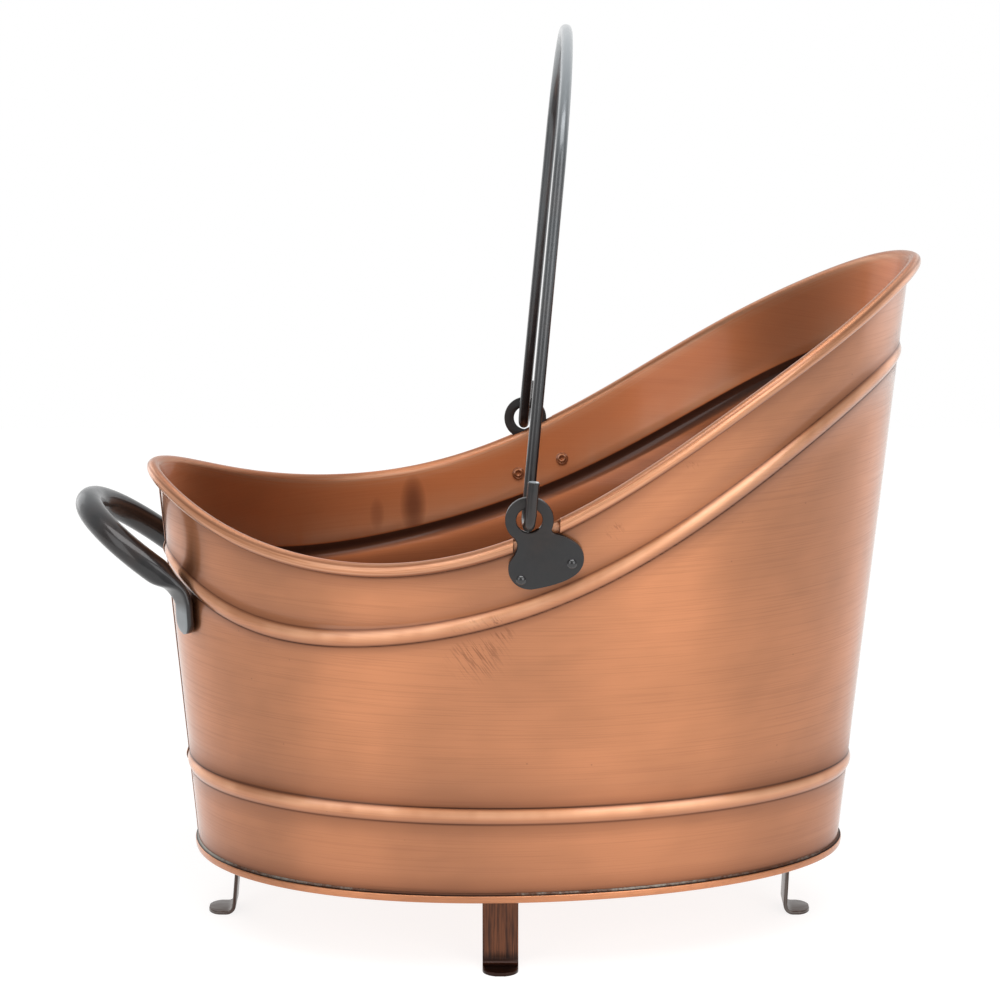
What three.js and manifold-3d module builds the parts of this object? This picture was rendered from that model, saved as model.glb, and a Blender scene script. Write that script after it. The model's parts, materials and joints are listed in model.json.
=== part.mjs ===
// Oval hearth bucket for kindling: a flared sheet body with a swept-up front lip, rolled rim and two
// swaged ribs, a hemmed floor on four strip feet, a swinging bail in two ears and a fixed rear handle.
// Millimetres. While it is built, x runs from the back to the front lip, y to the left side and z is
// the height above the floor's underside; the last lines stand the whole bucket on z = 0.
import * as THREE from "three";
import { mergeVertices } from "three/addons/utils/BufferGeometryUtils.js";
import Module from "manifold-3d";

const degrees = THREE.MathUtils.degToRad;

// ---------------------------------------------------------------- driving dimensions

const CLEARANCE = 0.3; // between pieces that sit on each other
const SHEET = 1.0; // body and floor sheet

// Body plan: half sizes at the floor, and how far the ends and sides lean out per mm of height.
const BASE_HALF_LENGTH = 176.4;
const BASE_HALF_WIDTH = 101;
const END_FLARE = 0.09;
const SIDE_FLARE = 0.11;
const FORWARD_DRIFT = 0.0046; // of the whole plan, so the front end leans out more than the back
const PLAN_POWER = 2.06; // 2 is an ellipse, less is more pointed
const PLAN_POWER_FALL = 0.00126; // per mm of height
const EGG = -0.113; // the front half is narrower than the back at the floor
const EGG_RISE = 0.00098; // per mm of height, so it is wider than the back at the lip

// Height of the rim every 30 degrees from the front lip round to the back, and how far below it
// the upper rib runs at the same places.
const RIM_HEIGHTS = [327, 306, 260.5, 204, 184.5, 199, 215];
const UPPER_RIB_DROPS = [51, 48, 49, 41, 42, 49, 49];
const LOWER_RIB_HEIGHT = 49;
const RIB_WIDTH = 9;
const RIB_PROUD = 1.5;

// Rolled rim round its wire.
const RIM_WIRE = 4.6; // diameter
const CURL_TURN = degrees(308);

// Lock seam down the back.
const SEAM_WIDTH = 6;
const SEAM_PROUD = 0.9;

// Hem that the floor sheet folds up outside the wall, and the solder run along its top.
const HEM_HEIGHT = 4.2;
const HEM_THICKNESS = 1.6;
const SOLDER_HEIGHT = 1.3;
const SOLDER_WIDTH = 1.4;
const SOLDER_HOLLOW = { width: 0.45, height: 0.4 }; // where its face sags, as shares of both

// Ear plates, seen from outside: x forward and y up from the middle of the eye.
const EAR_ANGLE = degrees(86.4); // where the plate touches the wall
const EAR_THICKNESS = 2.5;
const EAR_SEAT = 0.05; // more room behind the flat plate, for the wall's curve
const EAR_EYE = 13.2; // hole diameter
const EAR_RING = 24.3; // outside diameter round the hole
const EAR_EYE_BACK = 8.8; // the eye is this far behind the plate's middle
const EAR_EYE_RISE = 2.4; // and this far above the rim there
const EAR_LOBE = 11; // radius of both lobes
const EAR_REAR_LOBE = [0.5, -26];
const EAR_FRONT_LOBE = [16.5, -20.5];
const EAR_REAR_RIVET = [-4.0, -31.9];
const EAR_FRONT_RIVET = [21.4, -23.2];
const EAR_UNDER = [18.6, -33.9]; // where the lower edges of the lobes would meet
const EAR_RING_ARC = [degrees(-24), degrees(222)]; // the round stretches of the plate's edge
const EAR_REAR_ARC = [degrees(160), degrees(280)];
const EAR_FRONT_ARC = [degrees(-45), degrees(62)];
const EAR_REAR_HOLLOW = [-0.21, -1.07]; // what pulls the edge in under the ring, in ring radii
const EAR_FRONT_HOLLOW = [1.4, -0.64];
const EAR_NECK = [1.1, -0.6];
const EAR_NECK_HOLLOW = [0.95, -0.58];
const EAR_NOTCH = { rear: 7.7, front: 15.3 }; // how far the gap in the roll runs from the eye
const RIM_WIRE_SHORT = 0.8; // the wire ends this far inside the roll

// Bail: legs from the ears, a low arch, and hooks that turn up outside the ears.
const BAIL_ROD = 6.0;
const BAIL_REST = 0.7; // the rod rests this far behind the eyes' middles
const BAIL_PLAY = 0.6; // between the resting rod and the eye
const BAIL_LEAN = degrees(5.2); // forward
const BAIL_HOOK_INSIDE = 6.5; // from the ear's middle plane to the leg's axis
const BAIL_HOOK_OUTSIDE = 7.5; // and to the turned-up end's axis
const BAIL_HOOK_END = 24; // height of the turned-up end over the pivot
const BAIL_HOOK_TWIST = 1.4; // the turned-up end stands this far ahead of its leg
const BAIL_SHOULDER_HALF = 107; // half width where the arch starts
const BAIL_SHOULDER = 170; // its height over the pivot
const BAIL_TOP = 236; // the arch's height over the pivot

// Rear handle: a round bar with its ends flattened into palms.
const HANDLE_BAR = 14.6;
const HANDLE_RISE = degrees(37); // slope of the loop above level
const HANDLE_REACH = 48.5; // from the elbows over the palms to the loop's far end
const HANDLE_HALF_SPAN = 36; // half the distance between the elbows
const HANDLE_ELBOW = [20.5, 17]; // how far the elbow is up the wall and out from the palm
const HANDLE_ELBOW_PULL = { palm: 0.3, loop: 0.8 }; // how stiffly the bend leaves the palm and meets the loop
const HANDLE_GROWTH = [6, 26]; // from here to there above the palm it grows into the round bar
const PALM_ANGLE = degrees(161); // where each palm sits on the wall
const PALM_TOP = 143; // height of its upper end
const PALM_LENGTH = 15;
const PALM_WIDTH = 15;
const PALM_THICKNESS = 4.2;
const PALM_TIP = 3; // width of its rounded lower end where that is cut off
const PALM_CORNER = 0.5; // 1 would be an oval section, less has squarer corners
const PALM_SEAT = 0.1; // more room behind the palm, for the wall's curve
const PALM_RIVET = 0.55; // how far down the palm its rivet is, as a share of its length

// Feet: strips bent in under the floor and out along the ground.
const FOOT_HEIGHT = 42; // ground to the floor's underside
const FOOT_WIDTH = 19;
const FOOT_STRIP = 2.0;
const FOOT_TAB = 26; // under the floor
const FOOT_PAD = 13; // along the ground, past the leg
const FOOT_PAD_ROUND = 0.75; // length of the pad's rounded end, in half widths
const FOOT_PAD_TIP = 0.72; // how much of the width's square is lost at its tip
const FOOT_BEND = 4.5; // bend radius at the middle of the strip
const END_FOOT_INSET = { front: 27, rear: 22 }; // from the floor's edge to the leg
const SIDE_FOOT_INSET = 17;
const SIDE_FOOT_BACK = 10; // behind the body's middle
const FOOT_SPLAY = { front: degrees(-2), rear: degrees(5.5), side: degrees(2) };

// Rivets: shank and head sizes.
const EAR_RIVET = { shank: 3.4, head: 5.2, height: 1.2, tail: 7.0, tailEnd: 6.3, tailHeight: 1.1 };
const EAR_RIVET_BORE = { width: 2.4, depth: 2.0 }; // the open middle of the tail
const HANDLE_RIVET = { shank: 5, head: 9.5, height: 2.2, grip: 2.0 };
const FOOT_RIVET = { shank: 4, head: 7.5, height: 1.6, tail: 6.6, tailEnd: 5.3, tailHeight: 1.2 };
const FOOT_RIVET_SPREAD = 11; // between the two rivets of a foot
const FOOT_RIVET_BACK = 0.55; // how far back on the tab they are, as a share of its length
const DOME = [[0.52, 0.86], [0.86, 0.5]]; // a head between its top and its rim, in radii and heights

// How finely round things are cut.
const RING_STEPS = 64;
const RIB_STEPS = 4;
const CURL_STEPS = 8;
const WIRE_SIDES = 8;
const ROD_SIDES = 12;
const HANDLE_SIDES = 16;
const RIVET_SIDES = 12;
const ARCH_STEPS = 26;
const LEG_STEPS = 3;
const BEND_STEPS = 6;
const NOTCH_STEPS = 6;
const EAR_STEPS = 9;
const PALM_CUTS = [0, 0.6, 1.8, 4]; // mm from its lower end, closer where it is round
const HANDLE_STEP = 4; // mm
const PAD_CUTS = [0.5, 0.8, 0.95, 1]; // shares of the pad's rounded end
const DRILL_REACH = 8;
const WELD = 1e-4; // vertices nearer than this are one
const SEARCH_STEPS = 40;
const STEP = 0.001; // radians, for slopes
const QUARTER = 0.5523; // handle length with which a cubic curve turns a quarter circle

const COPPER = { color: 0xb87a54, roughness: 0.35, metalness: 1.0 };
const COPPER_DARK = { color: 0x6e4632, roughness: 0.45, metalness: 1.0 };
const IRON = { color: 0x3a3c40, roughness: 0.42, metalness: 0.9 };
const SOLDER = { color: 0x6f6a64, roughness: 0.6, metalness: 0.9 };

// ---------------------------------------------------------------- solids

const wasm = await Module();
wasm.setup();

// Skin over rings of points, each ring joined to the next. The last ring joins the first, or both
// ends are closed by a fan.
function skin(rings, joined = false) {
  const sides = rings[0].length;
  const positions = rings.flat().flatMap((point) => point.toArray());
  const faces = [];
  const last = joined ? rings.length : rings.length - 1;
  for (let r = 0; r < last; r++) {
    const here = r * sides;
    const there = ((r + 1) % rings.length) * sides;
    for (let i = 0; i < sides; i++) {
      const next = (i + 1) % sides;
      faces.push(here + i, here + next, there + next);
      faces.push(here + i, there + next, there + i);
    }
  }
  if (!joined) {
    for (const [r, turn] of [[0, -1], [rings.length - 1, 1]]) {
      const middle = new THREE.Vector3();
      rings[r].forEach((point) => middle.addScaledVector(point, 1 / sides));
      const hub = positions.length / 3;
      positions.push(...middle.toArray());
      for (let i = 0; i < sides; i++) {
        const pair = [r * sides + i, r * sides + ((i + 1) % sides)];
        faces.push(...(turn > 0 ? pair : pair.reverse()), hub);
      }
    }
  }
  const geometry = new THREE.BufferGeometry();
  geometry.setAttribute("position", new THREE.Float32BufferAttribute(positions, 3));
  geometry.setIndex(faces);
  return facingOut(geometry);
}

// Turns the faces round where they enclose a negative volume.
function facingOut(geometry) {
  const at = geometry.getAttribute("position");
  const index = geometry.getIndex().array;
  const corner = (k) => new THREE.Vector3().fromBufferAttribute(at, index[k]);
  let volume = 0;
  for (let k = 0; k < index.length; k += 3) {
    volume += corner(k).dot(corner(k + 1).cross(corner(k + 2)));
  }
  if (volume < 0) {
    geometry.setIndex(Array.from(index).reverse());
  }
  return geometry;
}

// Copy that keeps only the places of its vertices, and shares them between its faces.
function welded(geometry) {
  const bare = geometry.clone();
  bare.deleteAttribute("normal");
  bare.deleteAttribute("uv");
  return mergeVertices(bare, WELD);
}

function solid(geometry) {
  const closed = welded(geometry);
  const vertProperties = new Float32Array(closed.getAttribute("position").array);
  const triVerts = new Uint32Array(closed.getIndex().array);
  return new wasm.Manifold(new wasm.Mesh({ numProp: 3, vertProperties, triVerts }));
}

function geometryOf(body) {
  const mesh = body.getMesh();
  const geometry = new THREE.BufferGeometry();
  geometry.setAttribute("position", new THREE.BufferAttribute(new Float32Array(mesh.vertProperties), 3));
  geometry.setIndex(new THREE.BufferAttribute(new Uint32Array(mesh.triVerts), 1));
  return geometry;
}

function cut(geometry, tools) {
  return geometryOf(tools.reduce((body, tool) => body.subtract(solid(tool)), solid(geometry)));
}

// A round tool through whatever lies round a frame's origin, along its outward axis, with room for a
// rivet of this diameter.
function drill(frame, diameter, depth = DRILL_REACH, height = DRILL_REACH) {
  const radius = diameter / 2 + CLEARANCE;
  const tool = new THREE.CylinderGeometry(radius, radius, depth + height, RIVET_SIDES);
  tool.rotateX(Math.PI / 2);
  tool.translate(0, 0, (height - depth) / 2);
  return tool.applyMatrix4(frame);
}

function piece(name, geometry, finish) {
  const mesh = new THREE.Mesh(geometry, new THREE.MeshStandardMaterial(finish));
  mesh.name = name;
  return mesh;
}

// Rings of points round a line: `section(i)` gives the outline across the line at point i.
function sweep(points, across, section) {
  return points.map((point, i) => {
    const before = points[Math.max(i - 1, 0)];
    const after = points[Math.min(i + 1, points.length - 1)];
    const along = after.clone().sub(before).normalize();
    const v = across(i).clone();
    v.addScaledVector(along, -v.dot(along)).normalize();
    const u = v.clone().cross(along);
    return section(i).map(([a, b]) => point.clone().addScaledVector(u, a).addScaledVector(v, b));
  });
}

function circle(diameter, sides) {
  return Array.from({ length: sides }, (_, i) => {
    const turn = (2 * Math.PI * (i + 0.5)) / sides;
    return [(diameter / 2) * Math.cos(turn), (diameter / 2) * Math.sin(turn)];
  });
}

// ---------------------------------------------------------------- the body's surface

// A smooth curve, the same on both sides, through values at even steps from the front to the back.
function roundCurve(values) {
  const last = values.length - 1;
  const share = (k) => (k === 0 || k === last ? 0.5 : 1);
  const waves = values.map((_, k) => {
    const sum = values.reduce(
      (total, value, i) => total + share(i) * value * Math.cos((Math.PI * k * i) / last),
      0,
    );
    return (2 / last) * share(k) * sum;
  });
  return (angle) => waves.reduce((sum, wave, k) => sum + wave * Math.cos(k * angle), 0);
}

const level = () => 0;
const rimHeight = roundCurve(RIM_HEIGHTS);
const upperRibHeight = roundCurve(RIM_HEIGHTS.map((height, i) => height - UPPER_RIB_DROPS[i]));
const lowerRibHeight = () => LOWER_RIB_HEIGHT;

// Point of the body's outer face at an angle from the front and a height.
function facePoint(angle, z) {
  const c = Math.cos(angle);
  const s = Math.sin(angle);
  const power = PLAN_POWER - PLAN_POWER_FALL * z;
  const reach = (Math.abs(c) ** power + Math.abs(s) ** power) ** (-1 / power);
  const x = (BASE_HALF_LENGTH + END_FLARE * z) * c * reach + FORWARD_DRIFT * z;
  const y = (BASE_HALF_WIDTH + SIDE_FLARE * z) * s * reach * (1 + (EGG + EGG_RISE * z) * c);
  return new THREE.Vector3(x, y, z);
}

// Level direction along the face, anticlockwise seen from above.
function alongFace(angle, z) {
  return facePoint(angle + STEP, z).sub(facePoint(angle - STEP, z));
}

// Point `out` mm outside the face and `up` mm above the line height(angle), square to that line.
function wallPoint(angle, height, out, up) {
  const z0 = height(angle);
  const rise = height(angle + STEP) - height(angle - STEP);
  const along = alongFace(angle, z0);
  const z = z0 + up * Math.hypot(1, rise / along.length());
  const outward = new THREE.Vector3(along.y, -along.x, 0).normalize();
  return facePoint(angle, z).addScaledVector(outward, out);
}

// Frame on the face: x level towards the front, y up the wall, z outwards on the right side;
// on the left side x points to the back, which keeps the frame right-handed.
function wallFrame(angle, z) {
  const x = alongFace(angle, z).normalize();
  const y = facePoint(angle, z + 1).sub(facePoint(angle, z - 1));
  y.addScaledVector(x, -y.dot(x)).normalize();
  const outward = x.clone().cross(y);
  return new THREE.Matrix4().makeBasis(x, y, outward).setPosition(facePoint(angle, z));
}

// Frame on the wall under a place [x, y] of another frame, and how deep the wall lies below it there.
function wallUnder(frame, angle, z, [x, y]) {
  const back = frame.clone().invert();
  const at = { angle, z };
  let spot = new THREE.Vector3();
  for (let turn = 0; turn < SEARCH_STEPS; turn++) {
    spot = facePoint(at.angle, at.z).applyMatrix4(back);
    at.angle += ((x - spot.x) / alongFace(at.angle, at.z).length()) * 2 * STEP;
    at.z += y - spot.y;
  }
  return { frame: wallFrame(at.angle, at.z), depth: -spot.z };
}

// Angle between `low` and `high` at which the face stands at this x.
function angleAtX(x, height, low, high) {
  for (let turn = 0; turn < SEARCH_STEPS; turn++) {
    const middle = (low + high) / 2;
    if (facePoint(middle, height(middle)).x > x) {
      low = middle;
    } else {
      high = middle;
    }
  }
  return low;
}

const ringAngles = Array.from({ length: RING_STEPS }, (_, i) => (2 * Math.PI * i) / RING_STEPS);

function wallRing({ height, out, up }) {
  return ringAngles.map((angle) => wallPoint(angle, height, out, up));
}

// ---------------------------------------------------------------- body, rim wires, floor

const CURL_INSIDE = RIM_WIRE / 2 + CLEARANCE;
const CURL_OUTSIDE = CURL_INSIDE + SHEET;
const HEM_INNER = CLEARANCE;
const HEM_OUTER = HEM_INNER + HEM_THICKNESS;
const WALL_FOOT = SHEET + CLEARANCE;

function ribRows(height, out) {
  return Array.from({ length: RIB_STEPS + 1 }, (_, i) => {
    const share = i / RIB_STEPS - 0.5;
    return { height, up: share * RIB_WIDTH, out: out + RIB_PROUD * Math.cos(Math.PI * share) };
  });
}

function curlRows(radius) {
  return Array.from({ length: CURL_STEPS + 1 }, (_, i) => {
    const turn = Math.PI - (CURL_TURN * i) / CURL_STEPS;
    return {
      height: rimHeight,
      out: CURL_INSIDE + radius * Math.cos(turn),
      up: -CURL_OUTSIDE + radius * Math.sin(turn),
    };
  });
}

function faceRows(out) {
  return [
    { height: level, out, up: WALL_FOOT },
    ...ribRows(lowerRibHeight, out),
    ...ribRows(upperRibHeight, out),
  ];
}

// The seam is folded flat outside the wall, over the ribs, from the solder to the roll.
function seamGeometry() {
  const bottom = HEM_HEIGHT + SOLDER_HEIGHT + 2 * CLEARANCE;
  const root = -SHEET / 2; // halfway into the sheet, which it joins
  const rows = [
    { height: level, out: 0, up: bottom },
    ...ribRows(lowerRibHeight, 0),
    ...ribRows(upperRibHeight, 0),
    { height: rimHeight, out: 0, up: -2 * CURL_OUTSIDE - CLEARANCE },
  ];
  const rings = rows.map(({ height, out, up }) => {
    const middle = wallPoint(Math.PI, height, out, up);
    return [[root, -1], [SEAM_PROUD, -1], [SEAM_PROUD, 1], [root, 1]].map(([proud, side]) =>
      middle.clone().add(new THREE.Vector3(-proud, (side * SEAM_WIDTH) / 2, 0)),
    );
  });
  return skin(rings);
}

const earSides = { right: -1, left: 1 };

// Both ears touch the wall with their plates' middles at the rim's height; `side` is -1 or 1.
function earFrame(side) {
  return wallFrame(side * EAR_ANGLE, rimHeight(EAR_ANGLE));
}

// A place on an ear plate, given from its eye, in the wall frame of that side.
function earPlace(side, [x, y]) {
  return [-side * (x - EAR_EYE_BACK), y + EAR_EYE_RISE];
}

const eyeX = facePoint(EAR_ANGLE, rimHeight(EAR_ANGLE)).x - EAR_EYE_BACK;
const notchFront = angleAtX(eyeX + EAR_NOTCH.front, rimHeight, 0, Math.PI);
const notchRear = angleAtX(eyeX - EAR_NOTCH.rear, rimHeight, 0, Math.PI);

// Everything outside the wall's face between the notch's ends, all round the roll.
function notchTool(side) {
  const reach = 3 * CURL_OUTSIDE;
  const rings = Array.from({ length: NOTCH_STEPS + 1 }, (_, i) => {
    const angle = side * THREE.MathUtils.lerp(notchFront, notchRear, i / NOTCH_STEPS);
    return [[0, -reach], [reach, -reach], [reach, reach], [0, reach]].map(([out, up]) =>
      wallPoint(angle, rimHeight, out, up),
    );
  });
  return skin(rings);
}

function wallGeometry() {
  const rows = [
    ...faceRows(0),
    ...curlRows(CURL_INSIDE),
    ...curlRows(CURL_OUTSIDE).reverse(),
    ...faceRows(-SHEET).reverse(),
  ];
  const sheet = skin(rows.map(wallRing), true);
  const withSeam = geometryOf(solid(sheet).add(solid(seamGeometry())));
  return cut(withSeam, [
    ...Object.values(earSides).map(notchTool),
    ...earRivets.map(({ frame }) => drill(frame, EAR_RIVET.shank)),
    ...handleRivets.map(({ frame }) => drill(frame, HANDLE_RIVET.shank)),
  ]);
}

// The wire fills the roll from one ear's gap to the other's, between two angles.
function wireGeometry(from, to) {
  const pitch = (2 * Math.PI) / RING_STEPS;
  const section = (step) =>
    circle(RIM_WIRE, WIRE_SIDES).map(([out, up]) =>
      wallPoint(step * pitch, rimHeight, CURL_INSIDE + out, -CURL_OUTSIDE + up),
    );
  const ending = (angle) => {
    const step = Math.floor(angle / pitch);
    const next = section(step + 1);
    return section(step).map((point, i) => point.lerp(next[i], angle / pitch - step));
  };
  const rings = [ending(from)];
  for (let step = Math.floor(from / pitch) + 1; step * pitch < to; step++) {
    rings.push(section(step));
  }
  return skin([...rings, ending(to)]);
}

function floorGeometry() {
  const rows = [
    { out: HEM_OUTER, up: 0 },
    { out: HEM_OUTER, up: HEM_HEIGHT },
    { out: HEM_INNER, up: HEM_HEIGHT },
    { out: HEM_INNER, up: SHEET },
  ];
  const pan = skin(rows.map(({ out, up }) => wallRing({ height: level, out, up })));
  return cut(
    pan,
    feet.flatMap(({ rivets }) => rivets.map((frame) => drill(frame, FOOT_RIVET.shank))),
  );
}

function solderGeometry() {
  const foot = HEM_HEIGHT + CLEARANCE;
  const rows = [
    { out: HEM_INNER, up: foot },
    { out: HEM_INNER + SOLDER_WIDTH, up: foot },
    {
      out: HEM_INNER + SOLDER_HOLLOW.width * SOLDER_WIDTH,
      up: foot + SOLDER_HOLLOW.height * SOLDER_HEIGHT,
    },
    { out: HEM_INNER, up: foot + SOLDER_HEIGHT },
  ];
  return skin(rows.map(({ out, up }) => wallRing({ height: level, out, up })), true);
}

// ---------------------------------------------------------------- ears

const EAR_STANDOFF = CLEARANCE + EAR_SEAT;

// Outline from outside: the ring round the eye, running into two round lobes below it.
function earShape() {
  const ring = EAR_RING / 2;
  const inRadii = (place) => place.map((share) => share * ring);
  const onEdge = ([x, y], radius, angle) => [x + radius * Math.cos(angle), y + radius * Math.sin(angle)];
  const shape = new THREE.Shape();
  shape.absarc(0, 0, ring, ...EAR_RING_ARC, false);
  shape.quadraticCurveTo(...inRadii(EAR_REAR_HOLLOW), ...onEdge(EAR_REAR_LOBE, EAR_LOBE, EAR_REAR_ARC[0]));
  shape.absarc(...EAR_REAR_LOBE, EAR_LOBE, ...EAR_REAR_ARC, false);
  shape.quadraticCurveTo(...EAR_UNDER, ...onEdge(EAR_FRONT_LOBE, EAR_LOBE, EAR_FRONT_ARC[0]));
  shape.absarc(...EAR_FRONT_LOBE, EAR_LOBE, ...EAR_FRONT_ARC, false);
  shape.quadraticCurveTo(...inRadii(EAR_FRONT_HOLLOW), ...inRadii(EAR_NECK));
  shape.quadraticCurveTo(...inRadii(EAR_NECK_HOLLOW), ...onEdge([0, 0], ring, EAR_RING_ARC[0]));
  const eye = new THREE.Path();
  eye.absarc(0, 0, EAR_EYE / 2, 0, 2 * Math.PI, true);
  shape.holes.push(eye);
  return shape;
}

const earRivets = Object.entries(earSides).flatMap(([name, side]) =>
  Object.entries({ rear: EAR_REAR_RIVET, front: EAR_FRONT_RIVET }).map(([end, place]) => {
    const spot = wallUnder(earFrame(side), side * EAR_ANGLE, rimHeight(EAR_ANGLE), earPlace(side, place));
    return { name: `ear_${name}_rivet_${end}`, side, ...spot };
  }),
);

function earGeometry(side) {
  const plate = new THREE.ExtrudeGeometry(earShape(), {
    depth: EAR_THICKNESS,
    bevelEnabled: false,
    curveSegments: EAR_STEPS,
  });
  const [x, y] = earPlace(side, [0, 0]);
  plate.scale(-side, 1, 1);
  plate.translate(x, y, EAR_STANDOFF);
  plate.applyMatrix4(earFrame(side));
  const own = earRivets.filter((rivet) => rivet.side === side);
  return cut(facingOut(welded(plate)), own.map((rivet) => drill(rivet.frame, EAR_RIVET.shank)));
}

// A turned piece whose profile runs [radius, height] from axis to axis.
function turned(profile) {
  const lathe = new THREE.LatheGeometry(
    profile.map(([radius, height]) => new THREE.Vector2(radius, height)),
    RIVET_SIDES,
  );
  lathe.rotateX(Math.PI / 2);
  return facingOut(welded(lathe));
}

function domeProfile(head, height, seat) {
  const between = DOME.map(([out, up]) => [(out * head) / 2, seat + up * height]);
  return [[0, seat + height], ...between, [head / 2, seat]];
}

function earRivetGeometry({ frame, depth }) {
  const seat = depth + EAR_STANDOFF + EAR_THICKNESS + CLEARANCE;
  const tail = -SHEET - CLEARANCE;
  const end = tail - EAR_RIVET.tailHeight;
  const shank = EAR_RIVET.shank / 2;
  const rivet = turned([
    ...domeProfile(EAR_RIVET.head, EAR_RIVET.height, seat),
    [shank, seat],
    [shank, tail],
    [EAR_RIVET.tail / 2, tail],
    [EAR_RIVET.tailEnd / 2, end],
    [EAR_RIVET_BORE.width / 2, end],
    [EAR_RIVET_BORE.width / 2, end + EAR_RIVET_BORE.depth],
    [0, end + EAR_RIVET_BORE.depth],
  ]);
  return rivet.applyMatrix4(frame);
}

// ---------------------------------------------------------------- bail

const earMiddle = EAR_STANDOFF + EAR_THICKNESS / 2;

// The rod's axis where it crosses the ear, resting in the bottom of the eye.
const bailDrop = (EAR_EYE - BAIL_ROD) / 2 - BAIL_PLAY;
const pivot = new THREE.Vector3(
  ...earPlace(earSides.left, [-BAIL_REST, -Math.sqrt(bailDrop ** 2 - BAIL_REST ** 2)]),
  earMiddle,
).applyMatrix4(earFrame(earSides.left));

function bailPoints() {
  const hook = (BAIL_HOOK_INSIDE + BAIL_HOOK_OUTSIDE) / 2;
  const hookMiddle = pivot.y + (BAIL_HOOK_OUTSIDE - BAIL_HOOK_INSIDE) / 2;
  const legFoot = new THREE.Vector2(hookMiddle - hook, hook);
  const shoulder = new THREE.Vector2(BAIL_SHOULDER_HALF, BAIL_SHOULDER);
  const rise = BAIL_TOP - BAIL_SHOULDER;
  const legWay = shoulder.clone().sub(legFoot).normalize();
  const half = [new THREE.Vector2(hookMiddle + hook, BAIL_HOOK_END)];
  for (let i = 0; i <= 2 * BEND_STEPS; i++) {
    const turn = -(Math.PI * i) / (2 * BEND_STEPS);
    half.push(new THREE.Vector2(hookMiddle + hook * Math.cos(turn), hook + hook * Math.sin(turn)));
  }
  for (let i = 1; i < LEG_STEPS; i++) {
    half.push(legFoot.clone().lerp(shoulder, i / LEG_STEPS));
  }
  const arch = new THREE.CubicBezierCurve(
    shoulder,
    shoulder.clone().addScaledVector(legWay, QUARTER * rise),
    new THREE.Vector2(QUARTER * BAIL_SHOULDER_HALF, BAIL_TOP),
    new THREE.Vector2(0, BAIL_TOP),
  );
  half.push(...arch.getPoints(ARCH_STEPS / 2));
  const ahead = (y) => BAIL_HOOK_TWIST * (THREE.MathUtils.clamp((y - legFoot.x) / (2 * hook), 0, 1) - 0.5);
  const left = half.map(({ x, y }) => new THREE.Vector3(ahead(x), x, y));
  const right = left.slice(0, -1).map(({ x, y, z }) => new THREE.Vector3(x, -y, z));
  return [...left, ...right.reverse()];
}

function bailGroup() {
  const forward = new THREE.Vector3(1, 0, 0);
  const rings = sweep(bailPoints(), () => forward, () => circle(BAIL_ROD, ROD_SIDES));
  const group = new THREE.Group();
  group.position.set(pivot.x, 0, pivot.z);
  group.rotation.y = BAIL_LEAN;
  group.add(piece("bail_handle", skin(rings), IRON));
  return group;
}

// ---------------------------------------------------------------- rear handle

const palmMiddle = CLEARANCE + PALM_SEAT + PALM_THICKNESS / 2;

function palmFrame(side) {
  return wallFrame(side * PALM_ANGLE, PALM_TOP);
}

// One half, from the palm's lower end on the left side to the middle of the loop.
function handleHalf() {
  const frame = palmFrame(1);
  const inFrame = (up, out) => new THREE.Vector3(0, up, palmMiddle + out).applyMatrix4(frame);
  const [elbowUp, elbowOut] = HANDLE_ELBOW;
  const foot = inFrame(-PALM_LENGTH, 0);
  const top = inFrame(0, 0);
  const elbow = inFrame(elbowUp, elbowOut).setY(HANDLE_HALF_SPAN);
  const slope = new THREE.Vector3(-Math.cos(HANDLE_RISE), 0, Math.sin(HANDLE_RISE));
  const end = elbow.clone().addScaledVector(slope, HANDLE_REACH).setY(0);
  const path = new THREE.CurvePath();
  path.add(new THREE.LineCurve3(foot, top));
  path.add(
    new THREE.CubicBezierCurve3(
      top,
      inFrame(HANDLE_ELBOW_PULL.palm * elbowUp, 0),
      elbow.clone().addScaledVector(slope, -HANDLE_ELBOW_PULL.loop * elbowOut),
      elbow,
    ),
  );
  path.add(
    new THREE.CubicBezierCurve3(
      elbow,
      elbow.clone().addScaledVector(slope, QUARTER * HANDLE_REACH),
      end.clone().setY(QUARTER * HANDLE_HALF_SPAN),
      end,
    ),
  );
  return path;
}

// Outline that changes from the flat palm (flat = 1) to the round bar (flat = 0).
function handleSection(flat, width) {
  const half = THREE.MathUtils.lerp(HANDLE_BAR, width, flat) / 2;
  const thick = THREE.MathUtils.lerp(HANDLE_BAR, PALM_THICKNESS, flat) / 2;
  const corner = THREE.MathUtils.lerp(1, PALM_CORNER, flat);
  return Array.from({ length: HANDLE_SIDES }, (_, i) => {
    const turn = (2 * Math.PI * (i + 0.5)) / HANDLE_SIDES;
    const c = Math.cos(turn);
    const s = Math.sin(turn);
    return [half * Math.sign(c) * Math.abs(c) ** corner, thick * Math.sign(s) * Math.abs(s) ** corner];
  });
}

const handleRivets = Object.entries(earSides).map(([name, side]) => ({
  name: `rear_handle_rivet_${name}`,
  ...wallUnder(palmFrame(side), side * PALM_ANGLE, PALM_TOP, [0, -PALM_RIVET * PALM_LENGTH]),
}));

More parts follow.
